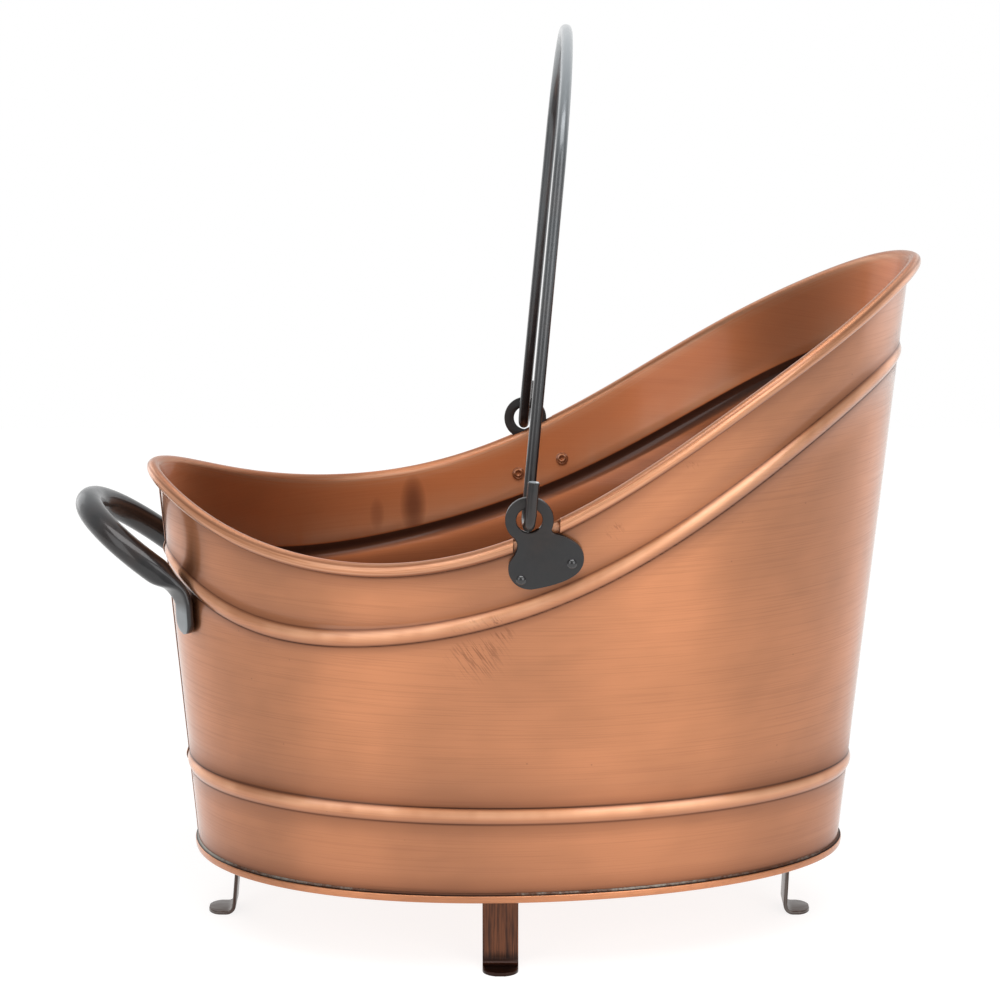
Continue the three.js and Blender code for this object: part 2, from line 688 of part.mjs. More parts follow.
function handleGeometry() {
  const path = handleHalf();
  const total = path.getLength();
  const spots = [...PALM_CUTS, PALM_WIDTH / 2, PALM_LENGTH];
  for (let along = PALM_LENGTH + HANDLE_STEP; along < total - HANDLE_STEP / 2; along += HANDLE_STEP) {
    spots.push(along);
  }
  spots.push(total);
  const half = spots.map((along) => ({ along, point: path.getPointAt(along / total) }));
  const other = half.slice(0, -1).reverse();
  const mirrored = other.map(({ along, point }) => ({ along, point: point.clone().setY(-point.y) }));
  const whole = [...half, ...mirrored];
  const outward = new THREE.Vector3().setFromMatrixColumn(palmFrame(1), 2);
  const loopUp = new THREE.Vector3(-Math.sin(HANDLE_RISE), 0, -Math.cos(HANDLE_RISE));
  const grown = (along) => THREE.MathUtils.smoothstep(along - PALM_LENGTH, ...HANDLE_GROWTH);
  const across = (i) => {
    const { along, point } = whole[i];
    const palm = outward.clone().setY(Math.sign(point.y) * outward.y);
    return palm.lerp(loopUp, grown(along));
  };
  const section = (i) => {
    const { along } = whole[i];
    const radius = PALM_WIDTH / 2;
    const short = Math.max(radius - along, 0) / radius;
    return handleSection(1 - grown(along), Math.max(PALM_WIDTH * Math.sqrt(1 - short ** 2), PALM_TIP));
  };
  const bore = HANDLE_RIVET.grip + 2 * CLEARANCE;
  const bar = skin(sweep(whole.map(({ point }) => point), across, section));
  return cut(
    bar,
    handleRivets.map(({ frame }) => drill(frame, HANDLE_RIVET.shank, DRILL_REACH, bore)),
  );
}

// Rivet from inside the bucket into a blind hole in the palm.
function handleRivetGeometry({ frame }) {
  const seat = SHEET + 2 * CLEARANCE;
  const shank = HANDLE_RIVET.shank / 2;
  const rivet = turned([
    ...domeProfile(HANDLE_RIVET.head, HANDLE_RIVET.height, seat).map(([r, h]) => [r, -h]),
    [shank, -seat],
    [shank, CLEARANCE + HANDLE_RIVET.grip],
    [0, CLEARANCE + HANDLE_RIVET.grip],
  ]);
  return rivet.applyMatrix4(frame);
}

// ---------------------------------------------------------------- feet

// Each foot stands at the top of its leg, under the floor, and points outwards.
const feet = [
  {
    name: "front",
    at: [BASE_HALF_LENGTH - END_FOOT_INSET.front, 0],
    turn: 0,
    splay: FOOT_SPLAY.front,
  },
  {
    name: "left",
    at: [-SIDE_FOOT_BACK, BASE_HALF_WIDTH - SIDE_FOOT_INSET],
    turn: Math.PI / 2,
    splay: FOOT_SPLAY.side,
  },
  {
    name: "rear",
    at: [-BASE_HALF_LENGTH + END_FOOT_INSET.rear, 0],
    turn: Math.PI,
    splay: FOOT_SPLAY.rear,
  },
  {
    name: "right",
    at: [-SIDE_FOOT_BACK, -BASE_HALF_WIDTH + SIDE_FOOT_INSET],
    turn: -Math.PI / 2,
    splay: FOOT_SPLAY.side,
  },
].map((foot) => {
  const rivets = [-0.5, 0.5].map((share) => {
    const back = new THREE.Vector2(-FOOT_RIVET_BACK * FOOT_TAB, share * FOOT_RIVET_SPREAD);
    back.rotateAround(new THREE.Vector2(), foot.turn);
    return new THREE.Matrix4().makeTranslation(foot.at[0] + back.x, foot.at[1] + back.y, 0);
  });
  return { ...foot, rivets };
});

// Points along a line with rounded corners, as [outwards, up].
function roundedLine(corners, radius) {
  const points = [corners[0]];
  for (let i = 1; i < corners.length - 1; i++) {
    const here = corners[i];
    const into = here.clone().sub(corners[i - 1]).normalize();
    const away = corners[i + 1].clone().sub(here).normalize();
    const bend = Math.acos(THREE.MathUtils.clamp(into.dot(away), -1, 1));
    const reach = radius * Math.tan(bend / 2);
    const start = here.clone().addScaledVector(into, -reach);
    const sense = Math.sign(into.x * away.y - into.y * away.x);
    const centre = start.clone().add(new THREE.Vector2(-into.y, into.x).multiplyScalar(sense * radius));
    for (let step = 0; step <= BEND_STEPS; step++) {
      points.push(start.clone().rotateAround(centre, (sense * bend * step) / BEND_STEPS));
    }
  }
  points.push(corners.at(-1));
  return points;
}

function footGeometry({ at, turn, splay, rivets }) {
  const under = -CLEARANCE - FOOT_STRIP / 2;
  const ground = -FOOT_HEIGHT + FOOT_STRIP / 2;
  const spread = Math.tan(splay) * (under - ground);
  const tip = spread + FOOT_PAD + FOOT_STRIP / 2;
  const rounded = (FOOT_PAD_ROUND * FOOT_WIDTH) / 2;
  const line = roundedLine(
    [
      new THREE.Vector2(-FOOT_TAB, under),
      new THREE.Vector2(0, under),
      new THREE.Vector2(spread, ground),
      new THREE.Vector2(tip - rounded, ground),
    ],
    FOOT_BEND,
  );
  for (const share of PAD_CUTS) {
    line.push(new THREE.Vector2(tip - rounded * (1 - share), ground));
  }
  const points = line.map(({ x, y }) => new THREE.Vector3(x, 0, y));
  const sideways = new THREE.Vector3(0, 1, 0);
  const section = (i) => {
    const short = THREE.MathUtils.clamp(1 - (tip - points[i].x) / rounded, 0, 1);
    const onGround = points[i].z <= ground + WELD;
    const width = FOOT_WIDTH * (onGround ? Math.sqrt(1 - FOOT_PAD_TIP * short ** 2) : 1);
    return [[-1, -1], [1, -1], [1, 1], [-1, 1]].map(([a, b]) => [(a * FOOT_STRIP) / 2, (b * width) / 2]);
  };
  const strip = skin(sweep(points, () => sideways, section));
  strip.rotateZ(turn);
  strip.translate(at[0], at[1], 0);
  return cut(strip, rivets.map((frame) => drill(frame, FOOT_RIVET.shank)));
}

function footRivetGeometry(frame) {
  const seat = SHEET + CLEARANCE;
  const tail = -FOOT_STRIP - 2 * CLEARANCE;
  const shank = FOOT_RIVET.shank / 2;
  const rivet = turned([
    ...domeProfile(FOOT_RIVET.head, FOOT_RIVET.height, seat),
    [shank, seat],
    [shank, tail],
    [FOOT_RIVET.tail / 2, tail],
    [FOOT_RIVET.tailEnd / 2, tail - FOOT_RIVET.tailHeight],
    [0, tail - FOOT_RIVET.tailHeight],
  ]);
  return rivet.applyMatrix4(frame);
}

// ---------------------------------------------------------------- the whole bucket

const bucket = new THREE.Group();
bucket.add(piece("body_wall", wallGeometry(), COPPER));
const wireFront = angleAtX(eyeX + EAR_NOTCH.front + RIM_WIRE_SHORT, rimHeight, 0, Math.PI);
const wireRear = angleAtX(eyeX - EAR_NOTCH.rear - RIM_WIRE_SHORT, rimHeight, 0, Math.PI);
bucket.add(piece("rim_wire_front", wireGeometry(-wireFront, wireFront), IRON));
bucket.add(piece("rim_wire_rear", wireGeometry(wireRear, 2 * Math.PI - wireRear), IRON));
bucket.add(piece("floor_pan", floorGeometry(), COPPER));
bucket.add(piece("floor_solder", solderGeometry(), SOLDER));

for (const [name, side] of Object.entries(earSides)) {
  bucket.add(piece(`ear_${name}`, earGeometry(side), IRON));
}
for (const rivet of earRivets) {
  bucket.add(piece(rivet.name, earRivetGeometry(rivet), COPPER_DARK));
}

bucket.add(bailGroup());

bucket.add(piece("rear_handle", handleGeometry(), IRON));
for (const rivet of handleRivets) {
  bucket.add(piece(rivet.name, handleRivetGeometry(rivet), COPPER_DARK));
}

for (const foot of feet) {
  bucket.add(piece(`foot_${foot.name}`, footGeometry(foot), COPPER_DARK));
  foot.rivets.forEach((frame, i) => {
    bucket.add(piece(`foot_${foot.name}_rivet_${i + 1}`, footRivetGeometry(frame), COPPER_DARK));
  });
}

// Stand it on the ground, centred on its own box.
bucket.updateMatrixWorld(true);
const box = new THREE.Box3().setFromObject(bucket, true);
const middle = box.getCenter(new THREE.Vector3());
bucket.position.set(-middle.x, -middle.y, -box.min.z);

const model = new THREE.Group();
model.add(bucket);

export default model;
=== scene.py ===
"""Looks of an oval copper hearth bucket for kindling: swept-up lip, rolled rim, two swaged ribs, a
hemmed floor on four strip feet, a swinging bail in two ears and a fixed rear handle."""

import json
import math
from collections import namedtuple

import bmesh
import bpy
import numpy as np
from mathutils import Matrix, Vector
from mathutils.geometry import interpolate_bezier


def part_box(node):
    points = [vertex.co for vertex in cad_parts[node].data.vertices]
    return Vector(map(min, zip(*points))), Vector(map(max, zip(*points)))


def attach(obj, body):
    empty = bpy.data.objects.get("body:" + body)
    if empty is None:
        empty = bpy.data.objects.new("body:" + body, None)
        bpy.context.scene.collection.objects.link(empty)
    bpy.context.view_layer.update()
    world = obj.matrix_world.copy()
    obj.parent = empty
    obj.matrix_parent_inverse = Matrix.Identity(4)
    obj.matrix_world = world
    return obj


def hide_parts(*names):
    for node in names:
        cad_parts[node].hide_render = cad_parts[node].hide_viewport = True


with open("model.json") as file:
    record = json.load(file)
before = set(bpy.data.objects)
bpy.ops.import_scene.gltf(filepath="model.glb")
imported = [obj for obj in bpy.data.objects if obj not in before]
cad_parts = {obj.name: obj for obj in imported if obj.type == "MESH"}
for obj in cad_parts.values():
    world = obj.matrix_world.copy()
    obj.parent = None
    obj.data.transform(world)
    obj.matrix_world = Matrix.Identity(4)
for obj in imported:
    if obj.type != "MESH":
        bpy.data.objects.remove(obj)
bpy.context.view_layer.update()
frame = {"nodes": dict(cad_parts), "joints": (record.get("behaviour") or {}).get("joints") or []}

bl_info = {
    "name": "Hearth Bucket",
    "version": (1, 0, 0),
    "blender": (4, 5, 0),
    "location": "View3D > Sidebar > Hearth Bucket",
    "description": "Builds the pieces, finishes and stage of a copper hearth bucket round its frame",
    "category": "Add Mesh",
}

MM = 0.001
STEP = 0.001  # radians, for slopes
QUARTER = 0.5523  # handle length with which a cubic curve turns a quarter circle
SHARP = math.radians(38)  # an edge that turns more than this is a crease
TOGETHER = 0.001 * MM  # vertices nearer than this are one
SIDES = {"right": -1, "left": 1}

MATH = "ShaderNodeMath"
VECTOR_MATH = "ShaderNodeVectorMath"
NOISE = "ShaderNodeTexNoise"
MIX = "ShaderNodeMix"
MAP_RANGE = "ShaderNodeMapRange"
RAMP = "ShaderNodeValToRGB"
ATTRIBUTE = "ShaderNodeAttribute"
COMBINE = "ShaderNodeCombineXYZ"
SEPARATE = "ShaderNodeSeparateXYZ"
COORDINATES = "ShaderNodeTexCoord"
MAPPING = "ShaderNodeMapping"
BUMP = "ShaderNodeBump"
METAL = "ShaderNodeBsdfPrincipled"
OUTPUT = "ShaderNodeOutputMaterial"


# ---------------------------------------------------------------- small tools


def linear(hex_colour):
    """Linear RGBA of an sRGB hex colour."""
    parts = [int(hex_colour[i : i + 2], 16) / 255 for i in (1, 3, 5)]
    return (*(p / 12.92 if p <= 0.04045 else ((p + 0.055) / 1.055) ** 2.4 for p in parts), 1.0)


def length(label, millimetres, tells):
    """Property for a length, given in millimetres."""
    return bpy.props.FloatProperty(
        name=label, description=tells, default=millimetres * MM, unit="LENGTH", precision=5
    )


def lengths(label, millimetres, tells):
    """Property for a row of lengths, given in millimetres."""
    return bpy.props.FloatVectorProperty(
        name=label,
        description=tells,
        size=len(millimetres),
        default=[value * MM for value in millimetres],
        unit="LENGTH",
        precision=5,
    )


def turn(label, degrees, tells):
    """Property for an angle, given in degrees."""
    return bpy.props.FloatProperty(
        name=label, description=tells, default=math.radians(degrees), subtype="ANGLE", unit="ROTATION"
    )


def number(label, default, tells):
    """Property for a plain number."""
    return bpy.props.FloatProperty(name=label, description=tells, default=default, precision=5)


def colour(label, hex_colour, tells):
    """Property for a colour, given as sRGB hex."""
    return bpy.props.FloatVectorProperty(
        name=label,
        description=tells,
        size=4,
        subtype="COLOR",
        min=0,
        max=1,
        default=linear(hex_colour),
    )


def add_node(tree, kind, inputs=None, stops=(), **settings):
    """Adds a node with its settings and links. An input is a value, a socket or a node, under its name
    or number. The stops of a ramp are pairs of a place and a shade of grey."""
    node = tree.nodes.new(kind)
    for name, value in settings.items():
        setattr(node, name, value)
    for key, value in (inputs or {}).items():
        if isinstance(value, bpy.types.Node):
            value = value.outputs[0]
        if isinstance(value, bpy.types.NodeSocket):
            tree.links.new(value, node.inputs[key])
        else:
            node.inputs[key].default_value = value
    if stops:
        curve = node.color_ramp
        curve.interpolation = "EASE"
        while len(curve.elements) < len(stops):
            curve.elements.new(0.5)
        for element, (spot, shade) in zip(curve.elements, stops):
            element.position = spot
            element.color = (shade, shade, shade, 1)
    return node


def cells(millimetres):
    """Scale of a pattern whose cells are this wide."""
    return 1 / (millimetres * MM)


def keep_numbers(mesh, name, values, domain="POINT"):
    """Keeps a number for each vertex or face of a mesh, as an attribute."""
    mesh.attributes.new(name, "FLOAT", domain).data.foreach_set("value", values)


# ---------------------------------------------------------------- sizes and colours


class BodySizes(bpy.types.PropertyGroup):
    """Sheet body: plan, flare, rim, ribs, seam and hem."""

    sheet: length("Sheet", 1.0, "Thickness of the body and floor sheet")
    clearance: length("Clearance", 0.3, "Gap between pieces that sit on each other")
    half_length: length("Half length", 176.4, "Half the length of the body at the floor")
    half_width: length("Half width", 101, "Half the width of the body at the floor")
    end_flare: number("End flare", 0.09, "How far the ends lean out with the height")
    side_flare: number("Side flare", 0.11, "How far the sides lean out with the height")
    forward_drift: number("Forward drift", 0.0046, "How far the plan moves forward with the height")
    power: number("Plan power", 2.06, "2 is an ellipse and less is more pointed")
    power_fall: number("Plan power fall", 1.26, "How much the power falls for each metre of height")
    egg: number("Egg", -0.113, "How much wider the front half is than the back at the floor")
    egg_rise: number("Egg rise", 0.98, "How much that grows for each metre of height")
    rim_heights: lengths(
        "Rim heights",
        (327, 306, 260.5, 204, 184.5, 199, 215),
        "Height of the rim every 30 degrees, from the front to the back",
    )
    rib_drops: lengths(
        "Rib drops", (51, 48, 49, 41, 42, 49, 49), "How far the upper rib runs below the rim there"
    )
    lower_rib: length("Lower rib", 49, "Height of the lower rib")
    rib_width: length("Rib width", 9, "Width of a rib")
    rib_proud: length("Rib height", 1.5, "How far a rib stands out")
    rim_wire: length("Rim wire", 4.6, "Diameter of the wire in the rolled rim")
    curl: turn("Curl", 308, "How far the rim is rolled round its wire")
    end_radius: length("End radius", 113, "Radius of the plan at its rear end")
    flat: number("Curl flat", 0.93, "How far the roll reaches out, as a share of its radius")
    seam_width: length("Seam width", 6, "Width of the lock seam down the back")
    seam_proud: length("Seam height", 0.9, "How far the seam stands out")
    hem_height: length("Hem height", 4.2, "Height of the floor's hem outside the wall")
    hem_thickness: length("Hem thickness", 1.6, "Thickness of the folded hem")
    solder_height: length("Solder height", 1.3, "Height of the solder run along the hem")
    solder_width: length("Solder width", 1.4, "Width of the solder run")
    sheet_lumps: length("Sheet lumps", 0.5, "How uneven the body sheet is")
    floor_lumps: length("Floor lumps", 0.4, "How uneven the floor's hem is")
    solder_lumps: length("Solder lumps", 1.0, "How uneven the solder is")


class EarSizes(bpy.types.PropertyGroup):
    """Ear plates, seen from outside: x forward and y up from the middle of the eye."""

    angle: turn("Angle", 86.4, "Where the plate touches the wall, from the front")
    thickness: length("Thickness", 2.5, "Thickness of the plate")
    edge: length("Edge", 0.35, "Rounding of the plate's edges")
    seat: length("Seat", 0.35, "Gap between the plate and the wall")
    eye: length("Eye", 13.2, "Diameter of the hole")
    ring: length("Ring", 24.3, "Outside diameter round the hole")
    eye_back: length("Eye back", 8.8, "How far the eye is behind the plate's middle")
    eye_rise: length("Eye rise", 2.4, "How far the eye is above the rim there")
    notch_front: length("Notch front", 15.3, "How far in front of the eye the rim's roll is cut away")
    notch_rear: length("Notch rear", 7.7, "How far behind the eye it is cut away")
    lobe: length("Lobe", 11, "Radius of both lobes")
    rear_lobe: lengths("Rear lobe", (0.5, -26), "Middle of the rear lobe")
    front_lobe: lengths("Front lobe", (16.5, -20.5), "Middle of the front lobe")
    under: lengths("Under", (18.6, -33.9), "Where the lower edges of the lobes would meet")


class BailSizes(bpy.types.PropertyGroup):
    """Swinging bail."""

    rod: length("Rod", 5.9, "Diameter of the rod")
    lean: turn("Lean", 5.2, "How far the bail leans forward at rest")
    hook_inside: length("Hook inside", 6.5, "From the ear's middle plane to the leg's axis")
    hook_outside: length("Hook outside", 7.5, "From there to the turned-up end's axis")
    hook_set_in: length("Hook set in", 0.25, "How far both stand in from there")
    hook_end: length("Hook end", 24, "Height of the turned-up end over the pivot")
    hook_twist: length("Hook twist", 1.4, "How far the turned-up end stands ahead of its leg")
    shoulder_half: length("Shoulder", 107, "Half the width where the arch starts")
    shoulder: length("Shoulder height", 170, "Its height over the pivot")
    top: length("Top", 236, "Height of the arch over the pivot")
    chamfer: length("Chamfer", 0.5, "Bevel of the cut ends")


class HandleSizes(bpy.types.PropertyGroup):
    """Fixed rear handle: a round bar with its ends flattened into palms."""

    bar: length("Bar", 14.6, "Diameter of the bar")
    rise: turn("Rise", 37, "Slope of the loop above level")
    reach: length("Reach", 48.4, "From the elbows to the loop's far end")
    half_span: length("Half span", 36, "Half the distance between the elbows")
    elbow: lengths("Elbow", (20.5, 17), "How far the elbow is up the wall and out from the palm")
    growth: lengths("Growth", (6, 26), "Where above the palm it grows into the round bar")
    palm_angle: turn("Palm angle", 161, "Where each palm sits on the wall, from the front")
    palm_top: length("Palm top", 143, "Height of the palm's upper end")
    palm_length: length("Palm length", 15, "Length of the palm")
    palm_width: length("Palm width", 15, "Width of the palm")
    palm_thickness: length("Palm thickness", 4.2, "Thickness of the palm")
    # The grey on the palms and at the loop's far end is wear and painted sheen.
    seat: length("Seat", 0.4, "Gap between the palm and the wall")
    worn_and_sheen_loop: length("Worn loop", 38, "How far the wear reaches down from the loop's far end")
    wear: number("Wear", 0.3, "How far the palms are worn to bare metal")


class FootSizes(bpy.types.PropertyGroup):
    """Feet: strips bent in under the floor and out along the ground."""

    height: length("Height", 42, "From the ground to the floor's underside")
    width: length("Width", 19, "Width of the strip")
    strip: length("Strip", 2.0, "Thickness of the strip")
    edge: length("Edge", 0.4, "Rounding of the strip's edges")
    seat: length("Seat", 0.3, "Gap between the tab and the floor")
    tab: length("Tab", 26, "Length under the floor")
    pad: length("Pad", 13, "Length along the ground")
    bend: length("Bend", 4.5, "Radius of the bends at the middle of the strip")
    front_inset: length("Front inset", 27, "From the floor's front edge to the leg")
    rear_inset: length("Rear inset", 22, "From the floor's rear edge to the leg")
    side_inset: length("Side inset", 17, "From the floor's side edge to the leg")
    side_back: length("Side back", 10, "How far the side feet are behind the body's middle")
    front_splay: turn("Front splay", -2, "How far the front leg leans out")
    rear_splay: turn("Rear splay", 5.5, "How far the rear leg leans out")
    side_splay: turn("Side splay", 2, "How far the side legs lean out")


class RivetSizes(bpy.types.PropertyGroup):
    """Rivets: heads and tails."""

    ear_head: length("Ear rivet head", 5.2, "Diameter of an ear rivet's head")
    ear_head_height: length("Ear rivet head height", 1.2, "Its height")
    ear_tail: length("Ear rivet tail", 7.0, "Diameter of its tail inside the bucket")
    ear_tail_height: length("Ear rivet tail height", 1.1, "Its height")
    ear_bore: length("Ear rivet bore", 2.4, "Diameter of the open middle of the tail")
    ear_bore_depth: length("Ear rivet bore depth", 1.6, "Its depth")
    ear_shank: length("Ear rivet shank", 2.2, "How far the shank goes into the plate")
    handle_head: length("Handle rivet head", 9.5, "Diameter of a handle rivet's head")
    handle_head_height: length("Handle rivet head height", 2.2, "Its height")
    foot_head: length("Foot rivet head", 7.5, "Diameter of a foot rivet's head")
    foot_head_height: length("Foot rivet head height", 1.6, "Its height")
    foot_tail: length("Foot rivet tail", 6.6, "Diameter of its tail under the foot")
    foot_tail_height: length("Foot rivet tail height", 1.2, "Its height")


class Finishes(bpy.types.PropertyGroup):
    """Colours of the finishes."""

    copper_light: colour("Copper, brushed", "#CC865A", "Copper plate where the brushing went deeper")
    copper: colour("Copper", "#B97950", "Copper plate all over")
    # Painted light: a lighter, more orange copper laid over most of the inside.
    copper_inside_painted_light: colour("Copper, inside", "#F0925B", "Copper plate that the brush hardly reached")
    # Crests rubbed bright, and painted highlight: the ribs' upper halves, the roll and lines inside the
    # bucket are lighter for the light that falls on them.
    copper_relief_and_highlight: colour("Copper, relief", "#E8AC84", "Copper plate on the crests, rubbed bright")
    # Inside the bucket, patina and deep patina also stand for painted shade below the upper rib, near
    # black in its groove.
    patina: colour("Patina", "#6E3F2C", "Brown patina left in the creases")
    patina_deep: colour("Deep patina", "#37241D", "Patina in the deepest creases")
    strip: colour("Strip copper", "#71452F", "Dark copper plate on the side feet")
    strip_dark: colour("Strip copper, dark", "#3C261E", "The same where it is darkest")
    # Painted reflection: the front and rear feet are the same strip as the side feet, painted grey for
    # the pale surroundings they mirror.
    strip_grey_sheen: colour("Strip, grey", "#6B6662", "Worn plate on the front and rear feet")
    # Darker colour towards the ground, at the side feet's lower bend.
    strip_low_dark: colour("Strip, sooty", "#2A1812", "Dirt at the lower bend of the side feet")
    iron: colour("Blackened iron", "#262526", "Blackened iron of the bail, ears and rear handle")
    iron_brown: colour("Iron, brown", "#30241F", "Brown cast on the iron")
    iron_scale: colour("Iron, scale", "#17181B", "Forge scale on the iron")
    # Bare metal on the bail's cut ends, and also painted highlight high on the bail and painted sheen
    # with wear on the rear handle's palms and loop end.
    iron_bare_and_highlight: colour("Iron, cut", "#D3DCE2", "Bare metal on cut ends and rubbed edges")
    solder: colour("Solder", "#8D8C84", "Dull solder")
    solder_dark: colour("Solder, dark", "#5B3B2C", "Brown flux over the solder")
    crevice: colour("Crevice", "#150F0C", "Dirt between the hem and the solder")
    wire: colour("Wire", "#77726D", "Bare drawn wire")
    stage: colour("Stage", "#F4F4F2", "Floor of the stage")
    stage_fibre: colour("Stage, fibres", "#EFEFED", "Fibres in the floor's paper")


GROUPS = {
    "bucket_body": BodySizes,
    "bucket_ear": EarSizes,
    "bucket_bail": BailSizes,
    "bucket_handle": HandleSizes,
    "bucket_foot": FootSizes,
    "bucket_rivet": RivetSizes,
    "bucket_finish": Finishes,
}


# ---------------------------------------------------------------- the body's rule, as node trees

BODY_INPUTS = {
    "Half Length": "half_length",
    "Half Width": "half_width",
    "End Flare": "end_flare",
    "Side Flare": "side_flare",
    "Forward Drift": "forward_drift",
    "Power": "power",
    "Power Fall": "power_fall",
    "Egg": "egg",
    "Egg Rise": "egg_rise",
}
FLOAT = "NodeSocketFloat"
VECTOR = "NodeSocketVector"
GEOMETRY = "NodeSocketGeometry"
MATERIAL = "NodeSocketMaterial"
NAMED = "GeometryNodeInputNamedAttribute"


def new_tree(name, inputs, outputs):
    """Geometry node tree with these named sockets."""
    tree = bpy.data.node_groups.new(name, "GeometryNodeTree")
    for way, sockets in (("INPUT", inputs), ("OUTPUT", outputs)):
        for label, kind in sockets.items():
            tree.interface.new_socket(label, in_out=way, socket_type=kind)
    return tree


def face_tree():
    """Point of the body's outer face at an angle from the front and a height: an egg-shaped oval whose
    size, power and egg change with the height."""
    name = "body_face"
    if name in bpy.data.node_groups:
        return bpy.data.node_groups[name]
    numbers = {"Angle": FLOAT, "Height": FLOAT, **dict.fromkeys(BODY_INPUTS, FLOAT)}
    tree = new_tree(name, numbers, {"Point": VECTOR})
    worked = {socket.name: socket for socket in add_node(tree, "NodeGroupInput").outputs}
    steps = (
        ("cosine", "COSINE", "Angle"),
        ("sine", "SINE", "Angle"),
        ("fall", "MULTIPLY", "Height", "Power Fall"),
        ("power here", "SUBTRACT", "Power", "fall"),
        ("across", "ABSOLUTE", "cosine"),
        ("across powered", "POWER", "across", "power here"),
        ("aside", "ABSOLUTE", "sine"),
        ("aside powered", "POWER", "aside", "power here"),
        ("sum", "ADD", "across powered", "aside powered"),
        ("root", "DIVIDE", -1.0, "power here"),
        ("reach", "POWER", "sum", "root"),
        ("long", "MULTIPLY_ADD", "Height", "End Flare", "Half Length"),
        ("forward", "MULTIPLY", "long", "cosine"),
        ("forward reach", "MULTIPLY", "forward", "reach"),
        ("x", "MULTIPLY_ADD", "Height", "Forward Drift", "forward reach"),
        ("wide", "MULTIPLY_ADD", "Height", "Side Flare", "Half Width"),
        ("sideways", "MULTIPLY", "wide", "sine"),
        ("sideways reach", "MULTIPLY", "sideways", "reach"),
        ("egg here", "MULTIPLY_ADD", "Height", "Egg Rise", "Egg"),
        ("plump", "MULTIPLY_ADD", "egg here", "cosine", 1.0),
        ("y", "MULTIPLY", "sideways reach", "plump"),
    )
    for label, operation, *terms in steps:
        inputs = {i: worked.get(term, term) for i, term in enumerate(terms)}
        worked[label] = add_node(tree, MATH, inputs, operation=operation, label=label).outputs[0]
    point = add_node(tree, COMBINE, {0: worked["x"], 1: worked["y"], 2: worked["Height"]})
    add_node(tree, "NodeGroupOutput", {"Point": point})
    return tree


def creased(tree, geometry):
    """Smooth shading that stops at creases."""
    turned = add_node(tree, "GeometryNodeInputMeshEdgeAngle")
    sharp = add_node(tree, "FunctionNodeCompare", {0: turned, 1: SHARP}, operation="LESS_THAN")
    faces = add_node(tree, "GeometryNodeSetShadeSmooth", {0: geometry, 2: True}, domain="FACE")
    return add_node(tree, "GeometryNodeSetShadeSmooth", {0: faces, 2: sharp}, domain="EDGE")


def finish_tree(tree, geometry, material):
    """Ends a tree: real geometry with its material."""
    real = add_node(tree, "GeometryNodeRealizeInstances", {"Geometry": geometry})
    dressed = add_node(tree, "GeometryNodeSetMaterial", {"Geometry": real, "Material": material})
    add_node(tree, "NodeGroupOutput", {"Geometry": dressed})


